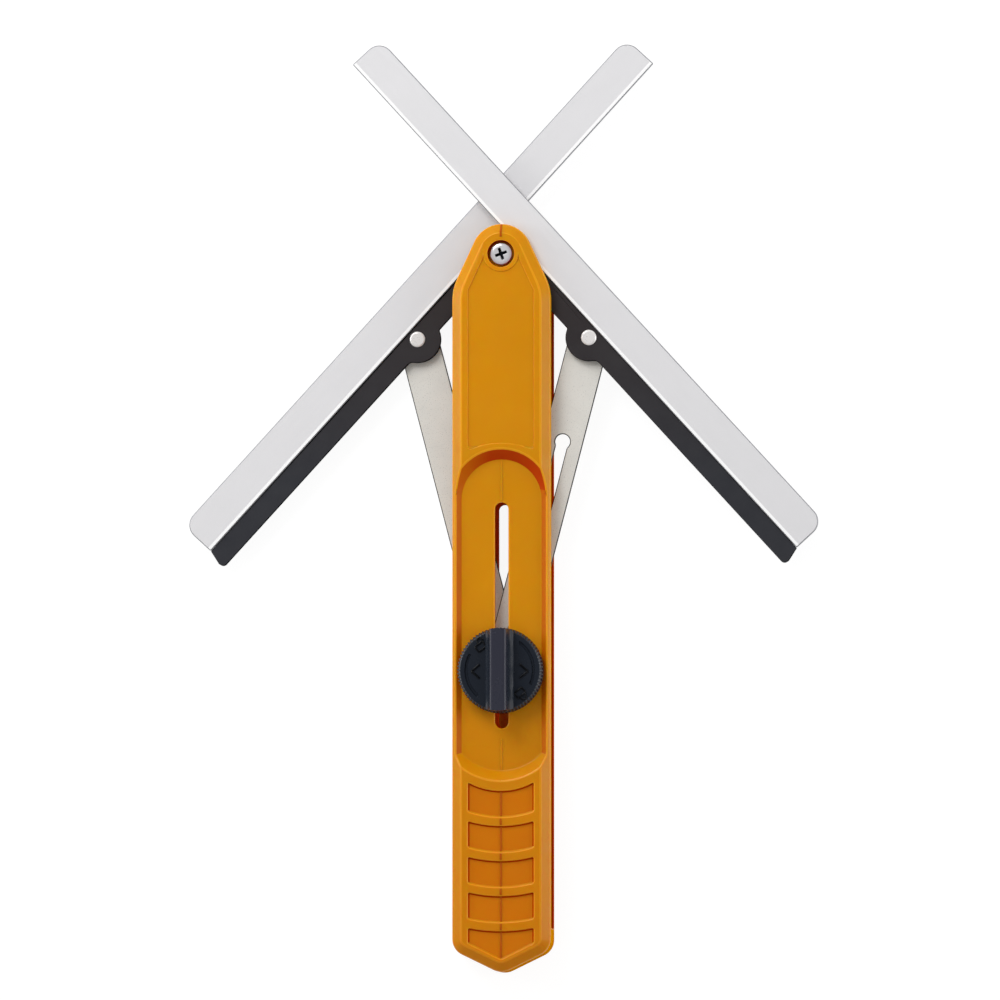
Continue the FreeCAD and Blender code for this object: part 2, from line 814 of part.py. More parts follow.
def dovetail(centre, bottom, top, gap):
    """The rail's section between two heights above the tongue's back, wider by a gap at each side."""
    flare = cell.rail_flare / cell.rail_height
    middle = cell.rail_width / 2 + gap
    low = middle + flare * (bottom - cell.tongue_thickness)
    high = middle + flare * (top - cell.tongue_thickness)
    return [(centre - low, bottom), (centre + low, bottom), (centre + high, top), (centre - high, top)]


def make_carrier(side, hub_bottom, hub_top):
    """The black carrier of an arm, drawn pointing down -Y with its blade on the outer side."""
    name = side_name(side)
    body = new_body("carrier_" + name)
    outer = cell.blade_edge_offset - cell.blade_side_gap
    inner = -cell.strip_inner_edge
    end = -strip_length
    knee = outer - (outer - inner) * strip_end_share
    bulge = cell.strip_end_bulge
    strip = [(inner, ZERO), (inner, end - bulge * strip_end_share), (knee, end - bulge), (outer, end),
             (outer, ZERO)]
    pad(body, "strip_" + name, sided(side, strip), ZERO, cell.strip_thickness)
    round_edges(body, "strip_end_round_" + name, sided(side, strip)[1:3], cell.strip_corner_radius)
    tongue_edge = cell.blade_edge_offset + cell.tongue_reach
    tongue = rectangle(ZERO, tongue_edge, end + cell.tongue_end_gap, -cell.tongue_start)
    pad(body, "tongue_" + name, sided(side, tongue), ZERO, cell.tongue_thickness)
    pad_disc(body, "hub_" + name, ZERO, ZERO, cell.hub_diameter / 2, hub_bottom, hub_top - hub_bottom)

    half_outer = half_chord(cell.lug_radius, outer - cell.rivet_offset)
    lug = [(outer, -cell.rivet_distance + half_outer),
           (outer, -cell.rivet_distance - half_outer, "left", "x", cell.rivet_offset)]
    pad(body, "lug_" + name, sided(side, lug), ZERO, cell.strip_thickness)
    half_inner = half_chord(cell.lug_radius, cell.rivet_offset - inner)
    blend = sided(side, [(inner, -cell.rivet_distance - half_inner)])
    round_edges(body, "lug_blend_" + name, blend, cell.lug_blend_radius)

    sketch = new_sketch(body, "rail_section_" + name, cell.rail_start, role="XZ_Plane")
    rail_centre = side * (cell.blade_edge_offset + cell.blade_width / 2)
    rail_top = cell.tongue_thickness + cell.rail_height
    draw_outline(sketch, dovetail(rail_centre, cell.tongue_thickness, rail_top, ZERO))
    rail = body.newObject("PartDesign::Pad", "rail_" + name)
    rail.Profile = sketch
    rail.setExpression("Length", (rail_end - cell.rail_start).formula)
    document.recompute()

    bore = cell.sleeve_diameter / 2 + cell.running_clearance
    cut_down(body, "pivot_bore_" + name, lambda sketch: draw_circle(sketch, ZERO, ZERO, bore),
             hub_top, hub_top - hub_bottom + cell.cut_overrun)
    rivet_radius = cell.rivet_diameter / 2
    cut_down(body, "rivet_bore_" + name,
             lambda sketch: draw_circle(sketch, side * cell.rivet_offset, -cell.rivet_distance, rivet_radius),
             cell.strip_thickness, cell.strip_thickness + cell.cut_overrun)
    return body


def make_blade(side):
    """The sliding blade, with a dovetail groove in its back that is closed at the lower end."""
    name = side_name(side)
    body = new_body("blade_" + name)
    bottom = cell.tongue_thickness + cell.face_clearance
    thickness = cell.arm_height - bottom
    inner = cell.blade_edge_offset
    outer = inner + cell.blade_width
    end = cell.blade_overhang - cell.blade_length
    outline = sided(side, rectangle(inner, outer, end, cell.blade_overhang))
    pad(body, "blade_plate_" + name, outline, bottom, thickness)
    round_edges(body, "blade_round_" + name, outline[1:3], cell.blade_corner_radius)

    before = body.Shape.Volume
    centre = side * (inner + cell.blade_width / 2)
    floor = cell.tongue_thickness + cell.rail_height + cell.rail_clearance
    groove_start = -cell.blade_overhang - cell.cut_overrun
    sketch = new_sketch(body, "groove_section_" + name, groove_start, role="XZ_Plane")
    draw_outline(sketch, dovetail(centre, bottom, floor, cell.rail_clearance))
    feature = body.newObject("PartDesign::Pocket", "groove_" + name)
    feature.Profile = sketch
    feature.Reversed = True
    feature.setExpression("Length", (rail_end + cell.stop_clearance - groove_start).formula)
    document.recompute()
    if not body.Shape.Volume < before:
        raise ValueError("the groove cuts nothing")

    pin_y = stop_pin_place()
    cut_down(body, "stop_pin_bore_" + name,
             lambda sketch: draw_circle(sketch, centre, pin_y, cell.stop_pin_diameter / 2),
             floor + cell.stop_pin_depth, floor + cell.stop_pin_depth - bottom)
    pin = new_body("blade_stop_pin_" + name)
    pad_disc(pin, "stop_pin_rod_" + name, centre, pin_y, cell.stop_pin_diameter / 2, bottom,
             floor + cell.stop_pin_depth - bottom)
    return body, pin


def stop_pin_place():
    """The stop pin meets the rail's upper end when the blade has slid its whole travel."""
    return -cell.rail_start + cell.blade_travel + cell.stop_clearance + cell.stop_pin_diameter / 2


def make_rivet(side, bottom):
    """The rivet of an arm's lug. Its tail turns in the link's counterbore."""
    radius = cell.rivet_diameter / 2
    head = cell.rivet_head_diameter / 2
    tail = cell.rivet_tail_diameter / 2
    floor = -(cell.link_thickness + cell.link_arm_clearance)
    tail_top = floor + cell.rivet_tail_height
    head_top = cell.strip_thickness + cell.rivet_head_height
    rivet = turned("rivet_" + side_name(side), [
        (ZERO, floor), (tail, floor), (tail, tail_top), (radius, tail_top), (radius, cell.strip_thickness),
        (head, cell.strip_thickness), (head - cell.rivet_head_height, head_top), (ZERO, head_top)])
    return place(rivet, side * rivet_x, rivet_y, bottom)


def make_link(side, bottom):
    """A flat link from an arm's rivet to the clamp stud, drawn from the rivet down -Y."""
    name = side_name(side)
    body = new_body("link_" + name)
    thickness = cell.link_thickness
    through = thickness + cell.cut_overrun
    pad(body, "link_plate_" + name, long_hole(cell.link_width / 2, ZERO, -cell.link_length), ZERO, thickness)
    bore = cell.rivet_diameter / 2 + cell.running_clearance
    cut_down(body, "link_rivet_bore_" + name, lambda sketch: draw_circle(sketch, ZERO, ZERO, bore),
             thickness, through)
    counterbore = cell.rivet_tail_diameter / 2 + cell.running_clearance
    counterbore_depth = cell.rivet_tail_height + cell.face_clearance
    cut_down(body, "link_counterbore_" + name, lambda sketch: draw_circle(sketch, ZERO, ZERO, counterbore),
             counterbore_depth, counterbore_depth + cell.cut_overrun)
    half_slot = cell.link_slot_width / 2
    if side > 0:
        cut_down(body, "keyhole_head",
                 lambda sketch: draw_circle(sketch, ZERO, -cell.keyhole_distance, cell.keyhole_diameter / 2),
                 thickness, through)
        slot = long_hole(half_slot, -cell.keyhole_distance, -cell.link_length)
        cut_down(body, "keyhole_slot", lambda sketch: draw_outline(sketch, slot), thickness, through)
    else:
        cut_down(body, "link_eye", lambda sketch: draw_circle(sketch, ZERO, -cell.link_length, half_slot),
                 thickness, through)
    return place(body, side * rivet_x, rivet_y, bottom, -side * link_angle)


def make_clamp():
    """The clamp slider, the spacers between the links, the washer, the stud and the knob."""
    stud_radius = cell.stud_diameter / 2
    bore = stud_radius + cell.running_clearance
    slider = new_body("clamp_slider")
    half_width = cell.slider_width / 2
    half_length = cell.slider_length / 2
    plate = rectangle(-half_width, half_width, -half_length, half_length)
    thickness = cell.slider_thickness - cell.face_clearance
    slider_top = cell.slider_sink + thickness
    pad(slider, "slider_plate", plate, cell.slider_sink, thickness)
    round_edges(slider, "slider_round", plate, cell.slider_corner_radius)
    cut_down(slider, "slider_thread", lambda sketch: draw_circle(sketch, ZERO, ZERO, bore),
             slider_top, thickness + cell.cut_overrun)
    place(slider, ZERO, clamp_y)

    rear_bottom = link_left_bottom + cell.link_thickness + cell.face_clearance
    rear_top = link_right_bottom - cell.face_clearance
    front_spacer_bottom = link_right_bottom + cell.link_thickness + cell.face_clearance
    rear = ring("clamp_spacer_rear", cell.spacer_diameter / 2, bore, rear_bottom, rear_top - rear_bottom)
    place(rear, ZERO, clamp_y)
    front = ring("clamp_spacer_front", cell.spacer_diameter / 2, bore, front_spacer_bottom,
                 front_bottom - cell.face_clearance - front_spacer_bottom)
    place(front, ZERO, clamp_y)
    washer = ring("clamp_washer", cell.clamp_washer_diameter / 2, bore, recess_floor + cell.face_clearance,
                  cell.clamp_washer_thickness)
    place(washer, ZERO, clamp_y)

    knob_bottom = recess_floor + cell.face_clearance + cell.clamp_washer_thickness + cell.face_clearance
    lengths = (("stud_rear", cell.slider_sink, cell.back_thickness),
               ("stud_middle", rear_bottom, rear_top),
               ("stud_front", front_spacer_bottom, knob_bottom + cell.stud_engagement))
    studs = []
    for name, low, high in lengths:
        piece = new_body(name)
        pad_disc(piece, name + "_rod", ZERO, ZERO, stud_radius, low, high - low)
        studs.append(place(piece, ZERO, clamp_y))
    group("clamp_stud", studs)
    make_knob(knob_bottom)


def make_knob(bottom):
    """The clamp knob: a chamfered disc crossed by a raised and waisted grip bar."""
    knob = new_body("knob")
    radius = cell.knob_diameter / 2
    face = bottom + cell.knob_height
    slope_width = cell.knob_top_chamfer_width
    foot = face - cell.knob_top_chamfer_depth
    low_half = cell.knob_bar_width / 2
    high_half = cell.knob_bar_top_width / 2
    waist = high_half + (low_half - high_half) * (1 - knob_bar_waist_share)
    bar_top = face + cell.knob_bar_height
    waist_height = face + cell.knob_bar_height * (1 - knob_bar_waist_share)
    reach = radius - cell.knob_bar_end_inset
    sketch = new_sketch(knob, "bar_section", -radius, role="XZ_Plane")
    flank = [(low_half, foot), (low_half, face), (waist, waist_height), (high_half, bar_top)]
    draw_outline(sketch, flank + [(-x, z) for x, z in reversed(flank)])
    bar = knob.newObject("PartDesign::Pad", "bar")
    bar.Profile = sketch
    bar.setExpression("Length", (2 * radius).formula)
    document.recompute()

    trim = new_sketch(knob, "bar_trim_section", role="XZ_Plane")
    outside = radius + low_half
    draw_outline(trim, rectangle(reach, outside, foot - cell.cut_overrun, bar_top + cell.cut_overrun))
    groove = knob.newObject("PartDesign::Groove", "bar_trim")
    groove.Profile = trim
    groove.ReferenceAxis = (trim, ["V_Axis"])
    groove.Angle = 360.0
    document.recompute()

    bore = cell.stud_diameter / 2
    bore_top = bottom + cell.stud_engagement
    turn_section(knob, "knob", [
        (ZERO, bore_top), (bore, bore_top), (bore, bottom), (radius - cell.knob_bottom_chamfer, bottom),
        (radius, bottom + cell.knob_bottom_chamfer), (radius, foot), (radius - slope_width, face),
        (ZERO, face)])
    place(knob, ZERO, clamp_y)


def make_arm(side, arm_bottom, link_bottom, hub_bottom, hub_top):
    """One arm: carrier, blade with its stop pin, rivet and link."""
    blade, pin = make_blade(side)
    for item in (make_carrier(side, hub_bottom, hub_top), blade, pin):
        place(item, ZERO, ZERO, arm_bottom, side * cell.arm_angle)
    make_rivet(side, arm_bottom)
    make_link(side, link_bottom)


def check_model():
    """Stop if any feature has failed or any piece has no valid solid."""
    for item in document.Objects:
        if "Invalid" in item.State or "Error" in item.State:
            raise ValueError(item.Name + " failed")
    for item in nodes():
        if item.Shape.isNull() or not item.Shape.isValid() or not item.Shape.Solids:
            raise ValueError(item.Label + " has no valid solid")


def nodes():
    """The pieces that are written: groups, and bodies that are in no group."""
    groups = [item for item in document.Objects if item.TypeId == "Part::Compound"]
    grouped = [piece for item in groups for piece in item.Links]
    bodies = [item for item in document.Objects if item.TypeId == "PartDesign::Body"]
    return groups + [item for item in bodies if item not in grouped]


make_front_shell()
make_back_shell()
make_pivot()
make_end_screws()
make_arm(-1, arm_left_bottom, link_left_bottom,
         cell.back_thickness + cell.face_clearance - arm_left_bottom, cell.arm_height)
make_arm(1, arm_right_bottom, link_right_bottom,
         ZERO, cell.arm_height + cell.arm_front_clearance - cell.face_clearance)
make_clamp()
document.recompute()
check_model()
os.makedirs("parts", exist_ok=True)
for node in nodes():
    node.Shape.exportStep(os.path.join("parts", node.Label + ".step"))
    print(node.Label, "solids", len(node.Shape.Solids), "volume", round(node.Shape.Volume, 2))
print("clamp at", round(clamp_y.value, 3), "link angle", round(link_angle.value, 3),
      "rivet", round(rivet_x.value, 3), round(rivet_y.value, 3), "top", front_top.value)
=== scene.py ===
"""Dressing of the folding angle finder: finishes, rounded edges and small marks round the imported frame."""
import json
import math

import bmesh
import bpy
from bpy.props import FloatProperty, FloatVectorProperty, PointerProperty
from mathutils import Matrix, Vector


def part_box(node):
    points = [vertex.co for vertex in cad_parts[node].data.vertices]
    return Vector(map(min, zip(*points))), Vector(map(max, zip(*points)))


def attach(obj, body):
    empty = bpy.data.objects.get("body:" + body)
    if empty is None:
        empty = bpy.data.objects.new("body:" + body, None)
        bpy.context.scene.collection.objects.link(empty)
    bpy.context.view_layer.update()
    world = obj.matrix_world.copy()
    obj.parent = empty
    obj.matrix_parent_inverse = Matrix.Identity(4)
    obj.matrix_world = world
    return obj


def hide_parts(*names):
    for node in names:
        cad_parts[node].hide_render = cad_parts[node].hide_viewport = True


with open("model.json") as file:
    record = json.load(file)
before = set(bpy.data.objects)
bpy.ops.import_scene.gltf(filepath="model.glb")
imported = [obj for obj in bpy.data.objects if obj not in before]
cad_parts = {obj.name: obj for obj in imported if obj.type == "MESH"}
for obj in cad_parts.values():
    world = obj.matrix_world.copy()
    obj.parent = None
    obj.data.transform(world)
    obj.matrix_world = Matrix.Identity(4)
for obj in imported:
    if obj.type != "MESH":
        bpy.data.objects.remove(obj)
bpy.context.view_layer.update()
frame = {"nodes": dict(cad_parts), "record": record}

bl_info = {
    "name": "Folding angle finder",
    "version": (1, 0, 0),
    "blender": (4, 5, 0),
    "location": "View3D > Sidebar > Angle finder",
    "description": "Dresses the packed angle finder with its finishes, rounded edges and small marks",
    "category": "Add Mesh",
}

BODY_OF = {node: body for body, nodes in frame["record"]["behaviour"]["bodies"].items() for node in nodes}


def length(name, text, millimetres, most=0.02):
    """A length that the user may change, given in millimetres and kept in metres."""
    return FloatProperty(name=name, description=text, default=millimetres / 1000, min=0.0, max=most,
                         unit="LENGTH", precision=5)


def share(name, text, value, most=1.0):
    """A plain share or strength."""
    return FloatProperty(name=name, description=text, default=value, min=0.0, max=most, subtype="FACTOR")


def colour(name, text, value):
    """A colour as the eye sees it, from 0 to 255 a channel."""
    return FloatVectorProperty(name=name, description=text, default=[linear(v) for v in value],
                               min=0.0, max=1.0, size=3, subtype="COLOR")


def linear(value):
    """One channel of a screen colour, 0 to 255, as light."""
    value /= 255
    return value / 12.92 if value <= 0.04045 else ((value + 0.055) / 1.055) ** 2.4


class HandleSettings(bpy.types.PropertyGroup):
    """Sizes and colours of the two handle shells."""
    rounding: length("Edge rounding", "Radius of the moulded edges of both shells", 0.5)
    panel_rounding: length("Panel edge rounding", "Radius of the shallow panel's edges", 0.17)
    colour: colour("Shell colour", "Colour of the handle's plastic", (206, 136, 0))
    # Painted shade: the plastic darkens and reddens towards the tail.
    tail_shade_colour: colour("Tail colour", "Colour that the plastic nears towards the tail", (192, 100, 0))
    # Painted shade in the pocket floors and on the shallow panel's walls.
    pocket_shade_colour: colour("Pocket colour", "Colour of the pocket floors", (202, 114, 0))
    # Painted shade on the recess's side walls.
    side_shade_colour: colour("Recess side colour", "Colour of the recess walls along its sides", (192, 98, 0))
    # Painted shade on the recess wall turned from the light.
    wall_shade_colour: colour("Wall colour", "Colour of the recess wall turned from the light", (186, 60, 0))
    # Painted shade in the slot and round the screw.
    hollow_shade_colour: colour("Hollow colour", "Colour of the walls in the slot and by the screw", (150, 20, 6))
    # Painted shade on the pockets' walls and inside the shells.
    inside_shade_colour: colour("Inside colour", "Colour of the pockets' walls and of the inside", (178, 54, 0))
    # Painted shade on the seam in the pockets and on the nose.
    seam_shade_colour: colour("Seam colour", "Colour of the seam on the nose and the grip", (176, 86, 3))
    # Painted highlight on the rounded outer edges.
    lip_highlight_colour: colour("Lip colour", "Colour of the rubbed outer edges", (222, 152, 10))
    grain: length("Grain size", "Size of the fine grain of the moulded surface", 0.22)
    seam_width: length("Seam width", "Width of the fine seam along the middle of the handle", 0.8)
    seam_height: length("Seam height", "Height of that seam above its surface", 0.32)


class ArmSettings(bpy.types.PropertyGroup):
    """Sizes and colours of the black carriers."""
    rounding: length("Edge rounding", "Radius of the carriers' edges", 0.34)
    colour: colour("Hub colour", "Colour of the carriers' plastic near the pivot", (47, 41, 42))
    far_colour: colour("Far colour", "Colour of the carriers' plastic towards their ends", (43, 44, 50))
    # Painted shade on the carriers' side faces.
    edge_shade_colour: colour("Edge colour", "Colour of the carriers' edges", (4, 4, 5))


class MetalSettings(bpy.types.PropertyGroup):
    """Sizes and colours of the metal pieces."""
    rounding: length("Edge rounding", "Width of the broken edges of blades and links", 0.34)
    # The bright strip is a painted highlight along the blade's inner edge.
    strip: length("Bright strip", "Width of the bright strip along the blade's inner edge", 1.4)
    blade_colour: colour("Blade colour", "Colour of the blades' satin metal", (236, 235, 237))
    # Painted shade on the blades' cut edges.
    edge_shade_colour: colour("Blade edge colour", "Colour of the painted shade on the blades' cut edges", (150, 150, 154))
    # Painted highlight along the blade's inner edge.
    strip_highlight_colour: colour("Strip colour", "Colour of the blades' bright strip", (253, 253, 253))
    link_colour: colour("Link colour", "Colour of the links' plated steel", (246, 244, 237))
    # Painted shade on the links' sheared edges.
    sheared_shade_colour: colour("Link edge colour", "Colour of the painted shade on the links' sheared edges", (22, 20, 19))
    # Painted shade in the screw's cross recess.
    recess_shade_colour: colour("Recess colour", "Colour inside the cross recess of the pivot screw", (24, 30, 40))
    rivet_colour: colour("Rivet colour", "Colour of the rivets", (246, 243, 241))
    screw_colour: colour("Screw colour", "Colour of the screws, the nuts and the stud", (236, 236, 240))
    brass_colour: colour("Sleeve colour", "Colour of the turned sleeve", (199, 163, 92))
    washer_colour: colour("Washer colour", "Colour of the plastic washers", (230, 227, 219))


class KnobSettings(bpy.types.PropertyGroup):
    """Sizes and colours of the clamp knob."""
    rounding: length("Edge rounding", "Radius of the edges of the knob's grip bar", 1.0)
    colour: colour("Knob colour", "Colour of the knob's plastic", (32, 37, 46))
    # Painted light: the plastic lightens on top of the grip bar.
    bar_top_light_colour: colour("Bar colour", "Colour that the plastic nears on top of the grip bar", (48, 49, 60))
    # Painted shade on the raised arrows and locks.
    mark_shade_colour: colour("Mark colour", "Colour of the raised arrows and locks", (5, 7, 13))
    disc_height: length("Disc height", "Height of the knob's disc under the grip bar", 6.4)
    disc_chamfer: length("Disc chamfer", "Width of the slope round the knob's face", 1.1)
    tooth_depth: length("Tooth depth", "Depth of the notches between the rim's teeth", 0.55)
    bar_width: length("Bar width", "Width of the grip bar at its foot", 10.8)
    bar_top_width: length("Bar top width", "Width of the top of the grip bar", 5.8)
    groove_radius: length("Groove radius", "Radius of the two curved grooves in the face", 12.6)
    groove_depth: length("Groove depth", "Depth of those grooves", 0.7)
    mark_height: length("Mark height", "Height of the raised arrows and locks", 0.45)


class StageSettings(bpy.types.PropertyGroup):
    """Camera, lights and floor."""
    distance: FloatProperty(name="Camera distance", description="Distance from the camera to the aim",
                            default=6.0, min=1.0, max=20.0, unit="LENGTH")
    width: FloatProperty(name="View width", description="Width of the view at the object",
                         default=0.375, min=0.1, max=2.0, unit="LENGTH")
    sky_low: share("Sky behind the tail", "Strength of the sky light from the tail's side", 0.52)
    sky_high: share("Sky beyond the nose", "Strength of the sky light from the nose's side", 0.72)
    key: FloatProperty(name="Key light", description="Power of the large light beyond the nose, in watts",
                       default=13.0, min=0.0, max=100.0)
    left: FloatProperty(name="Left light", description="Power of the low light on the left, in watts",
                        default=2.2, min=0.0, max=100.0)
    right: FloatProperty(name="Right light", description="Power of the low light on the right, in watts",
                         default=2.6, min=0.0, max=100.0)


# Finishes

X, Y, Z = range(3)  # axes of the object's own coordinates


def new_finish(name):
    """An empty finish with its node tree and its shader."""
    material = bpy.data.materials.new(name)
    material.use_nodes = True
    return material, material.node_tree, material.node_tree.nodes["Principled BSDF"]


def add(tree, kind, **values):
    """A shader node with its plain values set."""
    node = tree.nodes.new(kind)
    for name, value in values.items():
        setattr(node, name, value)
    return node


def place(tree, scale=(1, 1, 1), turn=(0, 0, 0)):
    """The object's own coordinates, scaled and turned."""
    coordinates = add(tree, "ShaderNodeTexCoord")
    mapping = add(tree, "ShaderNodeMapping")
    mapping.inputs["Scale"].default_value = scale
    mapping.inputs["Rotation"].default_value = turn
    tree.links.new(coordinates.outputs["Object"], mapping.inputs["Vector"])
    return mapping.outputs["Vector"]


def noise(tree, where, scale, detail=2.0, roughness=0.5):
    """A cloudy value from 0 to 1 round each place."""
    node = add(tree, "ShaderNodeTexNoise")
    node.inputs["Scale"].default_value = scale
    node.inputs["Detail"].default_value = detail
    node.inputs["Roughness"].default_value = roughness
    tree.links.new(where, node.inputs["Vector"])
    return node.outputs["Fac"]


def between(tree, value, low, high, to_low, to_high):
    """A value moved from one range to another, with its ends held."""
    node = add(tree, "ShaderNodeMapRange", clamp=True)
    for name, number in zip(("From Min", "From Max", "To Min", "To Max"), (low, high, to_low, to_high)):
        node.inputs[name].default_value = number
    tree.links.new(value, node.inputs["Value"])
    return node.outputs["Result"]


def blend_colours(tree, amount, first, second):
    """A colour between two others, each a plain colour or a socket."""
    node = add(tree, "ShaderNodeMix", data_type="RGBA")
    tree.links.new(amount, node.inputs[0])
    for index, value in ((6, first), (7, second)):
        if isinstance(value, bpy.types.NodeSocket):
            tree.links.new(value, node.inputs[index])
        else:
            node.inputs[index].default_value = (*value[:3], 1.0)
    return node.outputs[2]


def bumped(tree, shader, height, strength, depth):
    """Give a shader a fine relief from a height value."""
    node = add(tree, "ShaderNodeBump")
    node.inputs["Strength"].default_value = strength
    node.inputs["Distance"].default_value = depth
    tree.links.new(height, node.inputs["Height"])
    tree.links.new(node.outputs["Normal"], shader.inputs["Normal"])


def darker(tone, kept):
    """A tone with the given part of its light kept."""
    return tuple(value * kept for value in tone)


def moulded_plastic(name, tone, gloss, roughness, grain, strength=0.25, fade=None, glow=0.0):
    """Moulded plastic with a fine grain, a faint cloudiness and handling wear in its gloss.
    fade is (axis, start, end, most, colour): along the axis, the tone nears that colour from start to end,
    where it has the most of it."""
    material, tree, shader = new_finish(name)
    where = place(tree)
    cloud = noise(tree, where, 35.0, 3.0)
    tint = blend_colours(tree, between(tree, cloud, 0.35, 0.65, 0.0, 0.5), tone, darker(tone, 0.9))
    if fade:
        axis, start, end, most, other = fade
        split = add(tree, "ShaderNodeSeparateXYZ")
        tree.links.new(where, split.inputs[0])
        tint = blend_colours(tree, between(tree, split.outputs[axis], start, end, 0.0, most), tint, other)
    tree.links.new(tint, shader.inputs["Base Color"])
    shader.inputs["Specular IOR Level"].default_value = gloss
    shader.inputs["Subsurface Weight"].default_value = glow
    shader.inputs["Subsurface Scale"].default_value = 0.0025
    shader.inputs["Subsurface Radius"].default_value = (1.0, 0.2, 0.05)
    rub = noise(tree, where, 120.0, 4.0, 0.6)
    tree.links.new(between(tree, rub, 0.3, 0.7, roughness - 0.06, roughness + 0.06),
                   shader.inputs["Roughness"])
    bumped(tree, shader, noise(tree, where, 0.5 / grain, 2.0, 0.6), strength, grain * 0.12)
    return material


def worked_metal(name, tone, roughness, stretch=(1, 1, 1), turn=0.0, mottle=0.04, scratch=0.1, metal=1.0):
    """Metal with a drawn or rolled grain and a faintly uneven tone. A satin or plated face scatters much of
    its light, and has less than the full share of metal."""
    material, tree, shader = new_finish(name)
    shader.inputs["Metallic"].default_value = metal
    turned = place(tree, (1, 1, 1), (0, 0, turn))
    stretched = add(tree, "ShaderNodeMapping")
    stretched.inputs["Scale"].default_value = stretch
    tree.links.new(turned, stretched.inputs["Vector"])
    grain = noise(tree, stretched.outputs["Vector"], 2500.0, 3.0, 0.6)
    cloud = noise(tree, turned, 90.0, 3.0, 0.6)
    patches = between(tree, cloud, 0.35, 0.7, 0.0, 1.0)
    tint = blend_colours(tree, patches, tone, darker(tone, 1 - 3 * mottle))
    tree.links.new(tint, shader.inputs["Base Color"])
    tree.links.new(between(tree, grain, 0.25, 0.75, roughness - 0.06, roughness + 0.08),
                   shader.inputs["Roughness"])
    bumped(tree, shader, grain, scratch, 0.00002)
    return material


# Shapes

def divide(form, place, way):
    """Divide the faces that a plane crosses, and return what lies in the plane."""
    everything = list(form.verts) + list(form.edges) + list(form.faces)
    made = bmesh.ops.bisect_plane(form, geom=everything, dist=1e-7, plane_co=place, plane_no=way)
    return made["geom_cut"]


def rounded_copy(node, rounding, turn=26.0, steps=2, special=None, shape=None, sort=None, halves=False):
    """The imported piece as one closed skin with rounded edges, shown in its place.
    special is (test, radius, steps) for edges that are rounded in their own way. shape changes the form
    before its edges are rounded. sort(face, outer) gives the number of a face's finish, where outer says
    that the face is a rounded outer edge. With halves, the faces stay split down the middle, so that none
    of them has a hole in it."""
    mesh = frame["nodes"][node].data.copy()
    mesh.name = node + "_dressed"
    form = bmesh.new()
    form.from_mesh(mesh)
    bmesh.ops.remove_doubles(form, verts=form.verts, dist=1e-6)
    if halves:
        for item in divide(form, (0, 0, 0), (1, 0, 0)):
            if isinstance(item, bmesh.types.BMEdge):
                item.seam = True
    bmesh.ops.dissolve_limit(form, angle_limit=math.radians(0.6), verts=form.verts, edges=form.edges,
                             delimit={"SEAM"})
    if shape:
        shape(form)
    sharp = [edge for edge in form.edges
             if len(edge.link_faces) == 2 and edge.calc_face_angle(0.0) > math.radians(turn)]
    chosen = [edge for edge in sharp if special and special[0](edge)]
    plain = [edge for edge in sharp if edge not in set(chosen)]
    bands = round_edges(form, plain, rounding, steps)
    if chosen:
        bands += round_edges(form, [edge for edge in chosen if edge.is_valid], *special[1:])
    if sort:
        form.normal_update()
        outer = {face for face in bands if face.is_valid and stands_out(face)}
        for face in form.faces:
            face.material_index = sort(face, face in outer)
    form.to_mesh(mesh)
    form.free()
    mesh.validate()
    return show(node + "_dressed", mesh, node)


def round_edges(form, edges, radius, steps, clamp=False, corners="ARC"):
    """Round edges, and return the faces of the roundings."""
    made = bmesh.ops.bevel(form, geom=edges, offset=radius, offset_type="OFFSET", affect="EDGES",
                           segments=steps, profile=0.5, material=-1, clamp_overlap=clamp,
                           miter_outer=corners)
    return made["faces"]


def stands_out(face):
    """Whether a rounded edge is an outer one, and not the foot of a wall."""
    return sum(edge.calc_face_angle_signed(0.0) for edge in face.edges) > 0.02


def steep_faces(face, outer):
    """The second finish for steep faces and edges, and the first for flat ones."""
    return int(abs(face.normal.z) < 0.9)


def show(name, mesh, *nodes, body=None):
    """Put a finished mesh in the scene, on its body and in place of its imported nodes."""
    piece = bpy.data.objects.new(name, mesh)
    bpy.context.scene.collection.objects.link(piece)
    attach(piece, body or BODY_OF[nodes[0]])
    if nodes:
        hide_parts(*nodes)
    return piece


def smooth(piece, sharp_turn=50.0):
    """Smooth shading that keeps the flat faces flat."""
    piece.data.shade_smooth()
    piece.data.set_sharp_from_angle(angle=math.radians(sharp_turn))
    even = piece.modifiers.new("even_flats", "WEIGHTED_NORMAL")
    even.keep_sharp = True
    even.weight = 80
    return piece


def finish_with(piece, *materials):
    """Give a piece its finishes. Its faces keep the numbers that say which one they take."""
    slots = piece.data.materials
    for index, material in enumerate(materials):
        if index < len(slots):
            slots[index] = material
        else:
            slots.append(material)
    return piece


def skin(name, form, *nodes, body=None):
    """Turn a finished form into a shown piece."""
    mesh = bpy.data.meshes.new(name)
    form.to_mesh(mesh)
    form.free()
    return show(name, mesh, *nodes, body=body)


def add_rib(form, start, end, width, height):
    """A straight raised rib from one point of a surface to another, with its upper edges rounded."""
    along = end - start
    side = Vector((0, 0, 1)).cross(along).normalized()
    up = along.cross(side).normalized()
    turn = Matrix((along.normalized(), side, up)).transposed().to_4x4()
    size = Matrix.Diagonal((along.length, width, 2 * height, 1.0))
    middle = (start + end) / 2
    cube = bmesh.ops.create_cube(form, size=1.0, matrix=Matrix.Translation(middle) @ turn @ size)
    made = set(cube["verts"])
    top = [edge for edge in form.edges
           if all(v in made and (v.co - middle).dot(up) > 0 for v in edge.verts)]
    round_edges(form, top, min(width * 0.3, height * 0.7), 3, clamp=True, corners="SHARP")


def dress(nodes, rounding, *materials, **ways):
    """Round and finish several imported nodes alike."""
    for node in nodes:
        finish_with(smooth(rounded_copy(node, rounding, **ways)), *materials)


